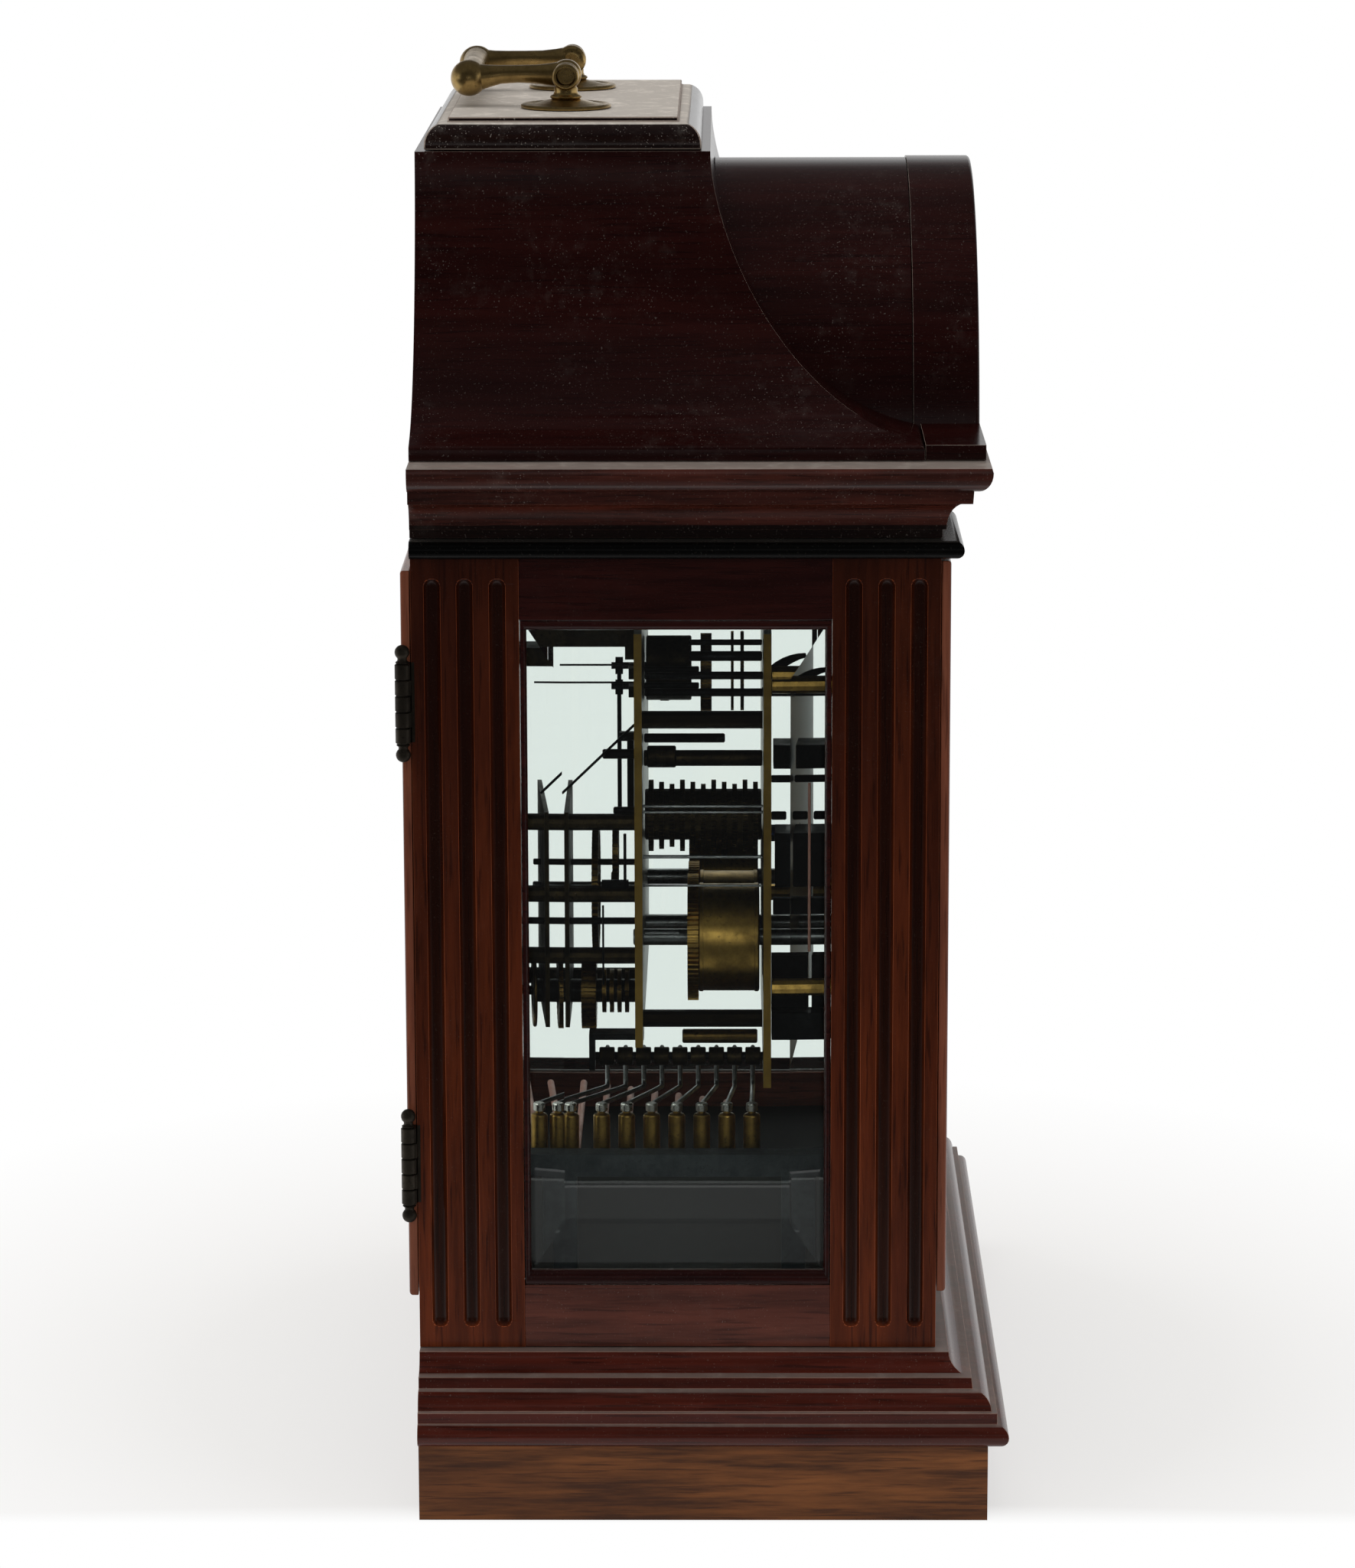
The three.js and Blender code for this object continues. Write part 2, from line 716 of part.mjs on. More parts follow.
// The hollow-sided top: a foot, then a sweep that steepens to the top. Its back is flat.
function bellTopBoard() {
  const frontRun = bellTopFrontInset - bellFootInset;
  const sweep = new THREE.CubicBezierCurve(
    new THREE.Vector2(frontRun, bellFootHeight),
    new THREE.Vector2(frontRun * 0.32, bellFootHeight + 8.5),
    new THREE.Vector2(0, bellHeight - 25),
    new THREE.Vector2(0, bellHeight),
  );
  const points = [new THREE.Vector2(frontRun, 0), ...sweep.getPoints(14)];
  const levels = points.map(({ x: run, y: height }) => {
    const sideInset = bellTopSideInset * (1 - run / frontRun) + gap;
    return {
      left: -halfWidth + sideInset,
      right: halfWidth - sideInset,
      back: 0,
      front: caseDepth - bellTopFrontInset + run,
      z: bellBottom + height,
    };
  });
  const hood = archway(hoodRadius + gap, hoodCentre - 1, hoodBack - gap, caseDepth + baseNose);
  return named('bell_top', cut(rectangleStack(levels), hood), mahogany());
}

function topBoard() {
  const profile = [
    [0, 0],
    [0, 1.4],
    ...uprightFirst([0, 1.5], [topBoardRun - 1.4, topBoardHeight - 1.7]),
    [topBoardRun, topBoardHeight - 1.6],
    [topBoardRun, topBoardHeight],
  ];
  const sideEdge = halfWidth - bellTopSideInset - topBoardMargin;
  const levels = profile.map(([run, height]) => ({
    left: -sideEdge + run,
    right: sideEdge - run,
    back: topBoardBack + run,
    front: topBoardFront - run,
    z: topBoardBottom + height,
  }));
  return named('top_board', rectangleStack(levels), mahogany());
}

// What lies below the level where the hood and its ring stand on the cornice.
function underHood() {
  return block(-hoodRadius - 1, hoodRadius + 1, hoodBack - 1, ringFront + 1, hoodCentre - 9, bellBottom);
}

// The barrel of the hood behind the ring, with a pocket for the dial's arch.
function archHood() {
  const outer = archway(hoodRadius - hoodSetBack, hoodCentre - 1, hoodBack, ringBack - gap);
  const pocket = archway(innerBore, hoodCentre - 2, dialBack - 2, ringBack + 1);
  return named('arch_hood', cut(outer, pocket, underHood()), mahogany());
}

// The moulded ring around the door's arch, with a shoulder on each side.
function archRing() {
  const ring = archway(hoodRadius, hoodCentre - 1, ringBack, ringFront);
  const shoulder = block(
    -halfWidth + 1,
    halfWidth - 1,
    caseDepth - bellFootInset + gap,
    ringFront,
    bellBottom,
    bellBottom + shoulderHeight,
  );
  const bore = archway(ringBore, hoodCentre - 2, lipBack - gap, ringFront + 1);
  const deepBore = archway(innerBore, hoodCentre - 2, ringBack - 1, ringFront + 1);
  return named('arch_ring', cut(joined(ring, shoulder), bore, deepBore, underHood()), mahogany());
}

// ---------------------------------------------------------------- handle

function handlePost(name, side) {
  const x = (side * postSpacing) / 2;
  const foot = topBoardTop + gap;
  const profile = [
    [0, 0],
    [rosetteRadius, 0],
    [rosetteRadius, 0.7],
    [rosetteRadius * 0.8, 1.4],
    [rosetteRadius * 0.55, rosetteHeight],
    [postNeckRadius, rosetteHeight + 0.6],
    [postNeckRadius, bailAxisHeight - 4.4],
    [3.1, bailAxisHeight - 3.6],
    [2.4, bailAxisHeight],
    [0, bailAxisHeight],
  ];
  const rosette = turned(profile, x, postDepth, foot);
  const boss = crossRod(x - bossLength / 2, x + bossLength / 2, postDepth, bailAxisZ, bossRadius - 1.2, 14);
  const bore = crossRod(x - bossLength, x + bossLength, postDepth, bailAxisZ, bossBore);
  return named(name, cut(joined(rosette, boss), bore), antiqueBrass());
}

// The bail: an eye and a pin at each post, an arm back to an elbow, and the grip between the elbows.
function bailHandle() {
  const armX = postSpacing / 2;
  const cornerDepth = postDepth - bailReach;
  const pinRadius = bossBore - runningGap;
  const eyeOuter = armX - bossLength / 2 - gap;
  const eyeInner = eyeOuter - 2 * bailArmRadius;
  const gripEnd = (eyeInner + eyeOuter) / 2;
  const pinEnd = armX + bossLength / 2 - 2;
  const pieces = [];
  for (const side of [-1, 1]) {
    pieces.push(sideRod(side, eyeInner, eyeOuter, postDepth, bailAxisZ, bailEyeRadius, 14));
    pieces.push(sideRod(side, eyeOuter - 1, pinEnd, postDepth, bailAxisZ, pinRadius, 8));
    const elbow = new THREE.SphereGeometry(bailElbowRadius, 12, 8);
    pieces.push(elbow.translate(side * gripEnd, depthY(cornerDepth), bailAxisZ));
    pieces.push(depthRod(side * gripEnd, bailAxisZ, bailArmRadius, cornerDepth, postDepth, 10));
  }
  pieces.push(crossRod(-gripEnd, gripEnd, cornerDepth, bailAxisZ, bailArmRadius + 0.6, 10));
  return named('bail_handle', joined(...pieces), antiqueBrass());
}

// ---------------------------------------------------------------- doors and hinges

// A lipped door frame around its glass. The outline is drawn in by an inset; faces are depths.
function doorFrame(name, outline, lipFaces, bodyFaces, recesses) {
  const whole = joined(slab(outline(0), ...lipFaces), slab(outline(doorBodyInset), ...bodyFaces));
  const faces = [...lipFaces, ...bodyFaces];
  const opening = slab(outline(doorStile), Math.min(...faces) - 1, Math.max(...faces) + 1);
  const rebate = slab(outline(doorStile - doorGlassRebate), ...bodyFaces);
  return named(name, cut(whole, opening, rebate, ...recesses), mahogany());
}

// A recess for a hinge's leaf, in the face of a door's lip that meets the case.
function doorHingeRecess(side, height) {
  const inner = halfWidth - hingeLeafWidth - gap;
  const thickness = hingeLeafThickness + gap;
  const depths = side < 0 ? [-gap - thickness, gap] : [lipBack - gap, lipBack + thickness];
  return sideBlock(side, inner, halfWidth + 1, ...depths, ...hingeSpan(height, gap));
}

const rearDoor = {
  bottom: sideBottom + rearDoorBottomMargin,
  top: sideTop - rearDoorTopMargin,
  outer: halfWidth - doorLipInset,
};

function rearDoorOutline(inset) {
  const half = rearDoor.outer - inset;
  return rectangle(-half, half, rearDoor.bottom + inset, rearDoor.top - inset);
}

function rearDoorFrame() {
  return doorFrame(
    'rear_door_frame',
    rearDoorOutline,
    [-gap - lipThickness, -gap],
    [-gap - doorJoin, doorBodyDepth],
    hingeHeights.map((height) => doorHingeRecess(-1, height)),
  );
}

function rearDoorGlass() {
  const outline = rearDoorOutline(doorStile - doorGlassRebate + gap);
  const glass = slab(outline, 0, doorGlassThickness);
  return named('rear_door_glass', glass, glassFinish());
}

const frontDoor = {
  bottom: sideBottom + frontDoorBottomMargin,
  shoulder: sideTop - frontDoorTopMargin,
  outer: halfWidth - doorLipInset,
  archRadius: ringBore - doorArchClearance,
};

function frontDoorOutline(inset) {
  return archedOutline(
    frontDoor.outer - inset,
    frontDoor.bottom + inset,
    frontDoor.shoulder - inset,
    frontDoor.archRadius - inset,
    hoodCentre,
  );
}

function frontDoorFrame() {
  return doorFrame(
    'front_door_frame',
    frontDoorOutline,
    [lipBack, lipBack + lipThickness],
    [caseDepth - doorBodyDepth, lipBack + doorJoin],
    hingeHeights.map((height) => doorHingeRecess(1, height)),
  );
}

function frontDoorGlass() {
  const outline = frontDoorOutline(doorStile - doorGlassRebate + gap);
  const glass = slab(outline, caseDepth - doorGlassThickness, caseDepth);
  return named('front_door_glass', glass, glassFinish());
}

// Where a hinge's axis stands, for the rear door (side -1) or the front door (side 1).
function hingeAxis(side) {
  return {
    x: side * (halfWidth + hingeRadius - 0.05),
    depth: side < 0 ? -hingeAxisOut : caseDepth + hingeAxisOut,
  };
}

function knuckleSpan(number, hingeBottom) {
  const bottom = hingeBottom + number * hingeKnuckle;
  return [bottom + gap / 2, bottom + hingeKnuckle - gap / 2];
}

function uprightRod(axis, radius, bottom, top, sides = 10) {
  const profile = [[0, 0], [radius, 0], [radius, top - bottom], [0, top - bottom]];
  return turned(profile, axis.x, axis.depth, bottom, sides);
}

// The leaf let into the case. It bends around the corner to its knuckles, the second and fourth.
function hingeCaseLeaf(name, side, height) {
  const axis = hingeAxis(side);
  const ends = hingeSpan(height);
  const outer = halfWidth + 0.02;
  const leafFaces = side < 0 ? [0, hingeLeafThickness] : [caseDepth - hingeLeafThickness, caseDepth];
  const bendFaces = side < 0 ? [-1.2, hingeLeafThickness] : [leafFaces[0], caseDepth + 1.2];
  const pieces = [sideBlock(side, halfWidth - hingeLeafWidth, outer, ...leafFaces, ...ends)];
  for (let number = 1; number < hingeKnuckles; number += 2) {
    const span = knuckleSpan(number, ends[0]);
    pieces.push(uprightRod(axis, hingeRadius, ...span));
    pieces.push(sideBlock(side, outer, halfWidth + hingeRadius + 0.4, ...bendFaces, ...span));
  }
  const pinHole = uprightRod(axis, hingePinRadius + runningGap, ...ends);
  return named(name, cut(joined(...pieces), pinHole), bronze());
}

// The leaf let into the door, with the other knuckles, the pin and a ball tip at each end.
function hingeDoorLeaf(name, side, height) {
  const axis = hingeAxis(side);
  const ends = hingeSpan(height);
  const face = side < 0 ? -gap - hingeLeafThickness : lipBack;
  const faces = [face, face + hingeLeafThickness];
  const pieces = [sideBlock(side, halfWidth - hingeLeafWidth, halfWidth - 0.2, ...faces, ...ends)];
  for (let number = 0; number < hingeKnuckles; number += 2) {
    const span = knuckleSpan(number, ends[0]);
    pieces.push(uprightRod(axis, hingeRadius, ...span));
    pieces.push(sideBlock(side, halfWidth - 1, halfWidth + hingeRadius, ...faces, ...span));
  }
  pieces.push(uprightRod(axis, hingePinRadius, ...hingeSpan(height, 1.2), 8));
  pieces.push(hingeFinial(axis, ends[0], -1), hingeFinial(axis, ends[1], 1));
  return named(name, joined(...pieces), bronze());
}

// A collar and a ball at one end of the hinge pin.
function hingeFinial(axis, z, end) {
  const ball = hingeRadius;
  const profile = [
    [0, 0],
    [hingeRadius * 0.8, 0],
    [hingeRadius * 0.8, 1.2],
    [hingeRadius * 0.55, 1.6],
  ];
  for (let step = 1; step <= 4; step += 1) {
    const angle = -0.9 + (step / 4) * (Math.PI / 2 + 0.9);
    profile.push([ball * Math.cos(angle), 1.6 + ball * 0.8 + ball * Math.sin(angle)]);
  }
  profile[profile.length - 1][0] = 0;
  const finial = turned(profile, 0, 0, 0, 10);
  finial.translate(0, -depthY(0), 0);
  if (end < 0) finial.rotateX(Math.PI);
  return finial.translate(axis.x, depthY(axis.depth), z - end * (gap / 2));
}

// ---------------------------------------------------------------- dial

// The holes that a key goes through to the winding arbors.
function windingHoles(back, front) {
  return Object.values(barrelPlaces).map(([x, z]) =>
    depthRod(x, z, windingArborRadius + windingHoleMargin, back, front));
}

function dialPlate() {
  const outline = archedOutline(dialWidth / 2, dialBottom, dialTop, dialArchRadius, hoodCentre);
  const footX = plateHalfWidth - dialFootInset;
  const feet = dialFootRises.flatMap((rise) => [-footX, footX].map((x) =>
    depthRod(x, handCentre + rise, pillarRadius, frontPlateDepth + plateThickness + gap, dialBack + 0.5)));
  const plate = joined(slab(outline, dialBack, dialFront), ...feet);
  const faces = [dialBack - 1, dialFront + 1];
  const pipeHole = depthRod(0, handCentre, hourPipeRadius + runningGap, ...faces);
  const archHole = depthRod(0, archDialCentre, handArborRadius + runningGap, ...faces);
  return named('dial_plate', cut(plate, pipeHole, archHole, ...windingHoles(...faces)), movementBrass());
}

function flatRing(outer, inner, centreZ, back, front, sides) {
  return cut(
    depthRod(0, centreZ, outer, back, front, sides),
    depthRod(0, centreZ, inner, back - 1, front + 1, sides),
  );
}

function chapterRing() {
  const back = dialFront + gap;
  const front = back + chapterThickness;
  const ring = flatRing(chapterOuterRadius, chapterInnerRadius, handCentre, back, front, 40);
  return named('chapter_ring', cut(ring, ...windingHoles(back - 1, front + 1)), silvered());
}

function archDial() {
  const back = dialFront + gap;
  const front = back + chapterThickness;
  const ring = flatRing(archDialRadius, handArborRadius + runningGap, archDialCentre, back, front, 28);
  return named('arch_dial', ring, silvered());
}

// A tapering hand on a round collet, turned clockwise by a share of a full turn from pointing up.
function handBlade(length, width, colletRadius, centreZ, back, share) {
  const blade = new THREE.Shape();
  blade.moveTo(-width / 2, 0);
  blade.lineTo(width / 2, 0);
  blade.lineTo(width * 0.9, length * 0.66);
  blade.lineTo(0, length);
  blade.lineTo(-width * 0.9, length * 0.66);
  blade.closePath();
  const flat = slab(blade, back, back + handThickness).rotateY(share * 2 * Math.PI).translate(0, 0, centreZ);
  return joined(flat, depthRod(0, centreZ, colletRadius, back, back + handThickness));
}

function hourHand() {
  const share = (shownHour + shownMinute / 60) / 12;
  const blade = handBlade(hourHandLength, 5, 6, handCentre, hourHandBack, share);
  const pipe = depthRod(
    0,
    handCentre,
    hourPipeRadius,
    frontPlateDepth + plateThickness + gap,
    hourHandBack + handThickness,
  );
  const bore = depthRod(
    0,
    handCentre,
    handArborRadius + runningGap,
    frontPlateDepth,
    hourHandBack + handThickness + 1,
  );
  return named('hour_hand', cut(joined(blade, pipe), bore), bluedSteel());
}

function minuteHand() {
  const blade = handBlade(minuteHandLength, 4, 5, handCentre, minuteHandBack, shownMinute / 60);
  const arbor = depthRod(
    0,
    handCentre,
    handArborRadius,
    backPlateDepth + plateThickness + gap,
    minuteHandBack + handThickness + 1.5,
  );
  const wheelDepths = [centreWheelBack, centreWheelBack + centreWheelThickness];
  const wheel = movementRod([0, 0], centreWheelRadius, wheelDepths, 20);
  return named('minute_hand', joined(blade, arbor, wheel), bluedSteel());
}

function archDialHand() {
  const blade = handBlade(archHandLength, 3.4, 4, archDialCentre, hourHandBack, 0);
  const arbor = depthRod(0, archDialCentre, handArborRadius, dialBack - 1.5, hourHandBack + 1, 12);
  return named('arch_dial_hand', joined(blade, arbor), bluedSteel());
}

// ---------------------------------------------------------------- movement

function movementPlate(bottom, back) {
  return block(-plateHalfWidth, plateHalfWidth, back, back + plateThickness, bottom, plateTop);
}

function arborHoles(back) {
  return Object.values(barrelPlaces).map(([x, z]) =>
    depthRod(x, z, windingArborRadius + runningGap, back - 1, back + plateThickness + 1));
}

function frontPlate() {
  const centre = depthRod(
    0,
    handCentre,
    hourPipeRadius + 0.6,
    frontPlateDepth - 1,
    frontPlateDepth + plateThickness + 1,
  );
  const rail = depthRod(
    hammerAxisX,
    hammerAxisZ,
    hammerRodRadius + runningGap,
    frontPlateDepth - 1,
    frontPlateDepth + plateThickness + 1,
  );
  const plate = cut(
    movementPlate(frontPlateBottom, frontPlateDepth),
    centre,
    rail,
    ...arborHoles(frontPlateDepth),
  );
  return named('front_plate', plate, movementBrass());
}

function backPlate() {
  const pillarX = plateHalfWidth - pillarInset;
  const pillars = pillarRises.flatMap((rise) => [-pillarX, pillarX].map((x) =>
    depthRod(x, handCentre + rise, pillarRadius, backPlateDepth + 0.5, frontPlateDepth - gap, 14)));
  const crutchHole = movementRod([0, crutchRise], crutchArborRadius + runningGap, [-1, plateThickness + 1]);
  const plate = joined(movementPlate(backPlateBottom, backPlateDepth), ...pillars);
  return named('back_plate', cut(plate, crutchHole, ...arborHoles(backPlateDepth)), movementBrass());
}

// A spring barrel with its great wheel, on an arbor that reaches through the dial for winding.
function springBarrel(train) {
  const [x, z] = barrelPlaces[train];
  const front = frontPlateDepth - barrelEndGap;
  const back = front - barrelLength;
  const arborBack = backPlateDepth - 1;
  const arborFront = dialFront + 4;
  const geometry = joined(
    depthRod(x, z, barrelRadius, back, front, 24),
    depthRod(x, z, greatWheelRadius, back - greatWheelThickness, back + 0.2, 24),
    depthRod(x, z, windingArborRadius, arborBack, arborFront, 12),
  );
  return named(`${train}_barrel`, geometry, movementBrass());
}

// The drum that lifts the hammers: a gear, a locking disc and a row of cams on one arbor.
function chimeDrum() {
  const geometry = joined(
    movementRod(drumPlace, drumRadius, drumDepths),
    movementRod(drumPlace, drumPivotRadius, [drumPivotBack, drumDepths[0] + 1], 10),
    movementRod(drumPlace, drumGearRadius, drumGearDepths, 20),
    movementRod(drumPlace, drumDiscRadius, drumDiscDepths, 20),
    ...Array.from({ length: drumCams }, (_, number) => {
      const back = drumCamBack + number * drumCamPitch;
      return movementRod(drumPlace, drumCamRadius, [back, back + drumCamThickness]);
    }),
  );
  return named('chime_drum', geometry, movementBrass());
}

// Two thin plates behind the back plate, joined by posts that stand on it.
function chimeFrame() {
  const { left, right } = chimeFrameBox;
  const bottom = handCentre + chimeFrameBox.bottom;
  const top = handCentre + chimeFrameBox.top;
  const plates = chimeFrameDepths.map((back) =>
    block(left, right, ...movementDepths([back, back + chimeFramePlate]), bottom, top));
  const posts = chimeFramePosts.map((place) =>
    movementRod(place, chimePostRadius, [chimeFrameDepths[0] + 0.4, -gap]));
  const [rearFaces, foreFaces] = chimeFrameDepths.map((back) => [back - 1, back + chimeFramePlate + 1]);
  const geometry = cut(
    joined(...plates, ...posts),
    movementRod(drumPlace, drumPivotRadius + runningGap, rearFaces),
    movementRod(drumPlace, drumRadius + runningGap, foreFaces),
    movementRod([chimeWheelX, chimeWheelRise], chimeArborRadius + runningGap, foreFaces),
  );
  return named('chime_frame', geometry, movementBrass());
}

function chimeWheel() {
  const place = [chimeWheelX, chimeWheelRise];
  const geometry = joined(
    movementRod(place, chimeArborRadius, [chimeArborBack, -gap], 10),
    movementRod(place, chimeWheelRadius, chimeWheelDepths, 28),
    movementRod(place, chimeCollarRadius, chimeCollarDepths, 16),
  );
  return named('chime_wheel', geometry, movementBrass());
}

// The cock that carries the pendulum's suspension, on a foot against the back plate.
function backCock() {
  const half = cockWidth / 2;
  const face = backPlateDepth - gap;
  const bottom = handCentre + cockRise;
  const footBottom = bottom - 2;
  const footTop = footBottom + cockFootHeight;
  const geometry = joined(
    block(-half, half, backPlateDepth - cockReach, face, bottom, bottom + cockThickness),
    block(-cockFootHalf, cockFootHalf, face - cockFootThickness, face, footBottom, footTop),
  );
  return named('back_cock', geometry, movementBrass());
}

// The crutch hangs behind the back plate; its arbor carries the pallets inside.
function crutch() {
  const half = crutchWidth / 2;
  const [palletX, palletZ] = palletHalf;
  const geometry = joined(
    movementRod([0, crutchRise], crutchArborRadius, crutchArborDepths, 10),
    movementRod([0, crutchRise], crutchColletRadius, crutchColletDepths, 14),
    block(-half, half, ...movementDepths(crutchDepths), crutchHeight - crutchLength, crutchHeight),
    block(-palletX, palletX, ...movementDepths(palletDepths), crutchHeight - palletZ, crutchHeight + palletZ),
  );
  return named('crutch', geometry, steel());
}

// ---------------------------------------------------------------- chime

function rodDepth(number) {
  return backPlateDepth + firstHead + number * hammerHeadPitch;
}

// Each head hangs above its rod, but the second one hangs off the middle of its rod.
function headDepth(number) {
  return number === 1 ? rodDepth(number) - secondHeadShift : rodDepth(number);
}

function hubDepth(number) {
  const rearmost = backPlateDepth + firstHub;
  const foremost = frontPlateDepth - hubEndGap - hammerHubLength / 2;
  return rearmost + ((foremost - rearmost) * number) / (hammerCount - 1);
}

// The iron bar along the case, with its front end turned up and two feet on the bottom board.
function chimeBlock() {
  const right = blockX + blockThickness;
  const top = blockBottom + blockHeight;
  const back = rodDepth(0) - blockMargin;
  const front = rodDepth(hammerCount - 1) + blockEndMargin;
  const rearFoot = Math.max(back + blockFootInset, bottomBoardBack + gap);
  const footBacks = [rearFoot, front - blockFootInset - blockFootLength];
  const footBottom = sideBottom + bottomBoardHeight + gap;
  const feet = footBacks.map((footBack) =>
    block(blockX + 1, right - 1, footBack, footBack + blockFootLength, footBottom, blockBottom + 1));
  const bar = joined(
    block(blockX, right, back, front, blockBottom, top),
    block(blockX, right, front - blockEndLength, front, blockBottom, blockBottom + blockEndHeight),
    ...feet,
  );
  return named('chime_block', bar, castIron());
}

// Nine rods in a row, held in a strip against the iron block, shorter toward the front.
function chimeRods() {
  const root = blockX + blockThickness + gap;
  const strip = block(
    root,
    root + 2,
    rodDepth(0) - 3,
    rodDepth(hammerCount - 1) + 3,
    rodHeight - 2.4,
    rodHeight + 1.4,
  );
  const rods = Array.from({ length: hammerCount }, (_, number) => {
    const length = longestRod - ((longestRod - shortestRod) * number) / (hammerCount - 1);
    return crossRod(root + 1, root + length, rodDepth(number), rodHeight, rodRadius, 8);
  });
  return named('chime_rods', joined(strip, ...rods), copper());
}

// The rod that the hammers swing on, from a cheek under the back plate into the front plate.
function hammerRail() {
  const left = hammerAxisX - railCheekHalf;
  const right = hammerAxisX + railCheekHalf;
  const cheek = hubDepth(0) - 6;
  const footTop = backPlateBottom - gap;
  const geometry = joined(
    depthRod(hammerAxisX, hammerAxisZ, hammerRodRadius, cheek, frontPlateDepth + plateThickness),
    block(left, right, cheek, cheek + railCheek, hammerAxisZ - railCheekHalf, footTop),
    block(left, right, cheek, backPlateDepth + plateThickness, footTop - railCheek, footTop),
  );
  return named('hammer_rail', geometry, steel());
}

// A hammer: a hub on the rail, a bent wire, and a brass head with a cap, resting above its rod.
function hammer(number) {
  const hub = hubDepth(number);
  const head = headDepth(number);
  const headBottom = rodHeight + rodRadius + hammerLift;
  const capTop = headBottom + hammerHeadHeight + hammerCapHeight;
  const kneeX = hammerHeadX + 8;
  const arm = wire(
    [
      [hammerAxisX - 2, hub, hammerAxisZ],
      [kneeX, hub, hammerAxisZ + 3],
      [kneeX - 1, hub, hammerAxisZ - 3],
      [hammerHeadX, head, capTop - hammerWireRadius],
    ],
    hammerWireRadius,
    5,
  );
  const profile = [
    [0, 0],
    [hammerHeadRadius, 0],
    [hammerHeadRadius, hammerHeadHeight],
    [hammerHeadRadius * 0.7, hammerHeadHeight + 0.6],
    [hammerHeadRadius * 0.7, hammerHeadHeight + hammerCapHeight],
    [0, hammerHeadHeight + hammerCapHeight],
  ];
  const hubHalf = hammerHubLength / 2;
  const hubTube = depthRod(hammerAxisX, hammerAxisZ, hammerHubRadius, hub - hubHalf, hub + hubHalf, 8);
  const boreRadius = hammerRodRadius + runningGap;
  const bore = depthRod(hammerAxisX, hammerAxisZ, boreRadius, hub - hubHalf - 1, hub + hubHalf + 1, 8);
  const body = joined(turned(profile, hammerHeadX, head, headBottom, 10), arm, hubTube);
  return named(`hammer_${number + 1}`, cut(body, bore), movementBrass());
}

// ---------------------------------------------------------------- assembly

function group(name, ...members) {
  const whole = new THREE.Group();
  whole.name = name;
  whole.add(...members);
  return whole;
}

const caseGroup = group(
  'case',
  plinth(),
  baseMoulding(),
  bottomBoard(),
  sideFrame('side_frame_left', -1),
  sideFrame('side_frame_right', 1),
  sideGlass('side_glass_left', -1),
  sideGlass('side_glass_right', 1),
  glassBead('glass_bead_left', -1),
  glassBead('glass_bead_right', 1),
  rearFrame(),
  frontFrame(),
);

const topGroup = group('top', astragal(), cornice(), bellTopBoard(), archHood(), archRing(), topBoard());

const handleGroup = group(
  'handle',
  handlePost('handle_post_left', -1),
  handlePost('handle_post_right', 1),
  bailHandle(),
);

const [lowerHinge, upperHinge] = hingeHeights;
const rearDoorGroup = group(
  'rear_door',
  rearDoorFrame(),
  rearDoorGlass(),
  hingeCaseLeaf('rear_hinge_lower_case_leaf', -1, lowerHinge),
  hingeDoorLeaf('rear_hinge_lower_door_leaf', -1, lowerHinge),
  hingeCaseLeaf('rear_hinge_upper_case_leaf', -1, upperHinge),
  hingeDoorLeaf('rear_hinge_upper_door_leaf', -1, upperHinge),
);

const frontDoorGroup = group(
  'front_door',
  frontDoorFrame(),
  frontDoorGlass(),
  hingeCaseLeaf('front_hinge_lower_case_leaf', 1, lowerHinge),
  hingeDoorLeaf('front_hinge_lower_door_leaf', 1, lowerHinge),
  hingeCaseLeaf('front_hinge_upper_case_leaf', 1, upperHinge),
  hingeDoorLeaf('front_hinge_upper_door_leaf', 1, upperHinge),
);

const dialGroup = group(
  'dial',
  dialPlate(),
  chapterRing(),
  archDial(),
  archDialHand(),
  hourHand(),
  minuteHand(),
);

const movementGroup = group(
  'movement',
  frontPlate(),
  backPlate(),
  ...Object.keys(barrelPlaces).map(springBarrel),
  chimeDrum(),
  chimeFrame(),
  chimeWheel(),
  backCock(),
  crutch(),
);

const chimeGroup = group(
  'chime',
  chimeBlock(),
  chimeRods(),
  hammerRail(),
  ...Array.from({ length: hammerCount }, (_, number) => hammer(number)),
);

export default group(
  'bracket_clock',
  caseGroup,
  topGroup,
  handleGroup,
  rearDoorGroup,
  frontDoorGroup,
  dialGroup,
  movementGroup,
  chimeGroup,
);
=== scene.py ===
"""The looks of a bracket clock with a break-arch dial and glazed sides.

Shapes are given in mm as (across, depth, up): depth runs forward from the back of the case.
"""

import math

import bmesh
import bpy
from mathutils import Matrix, Vector


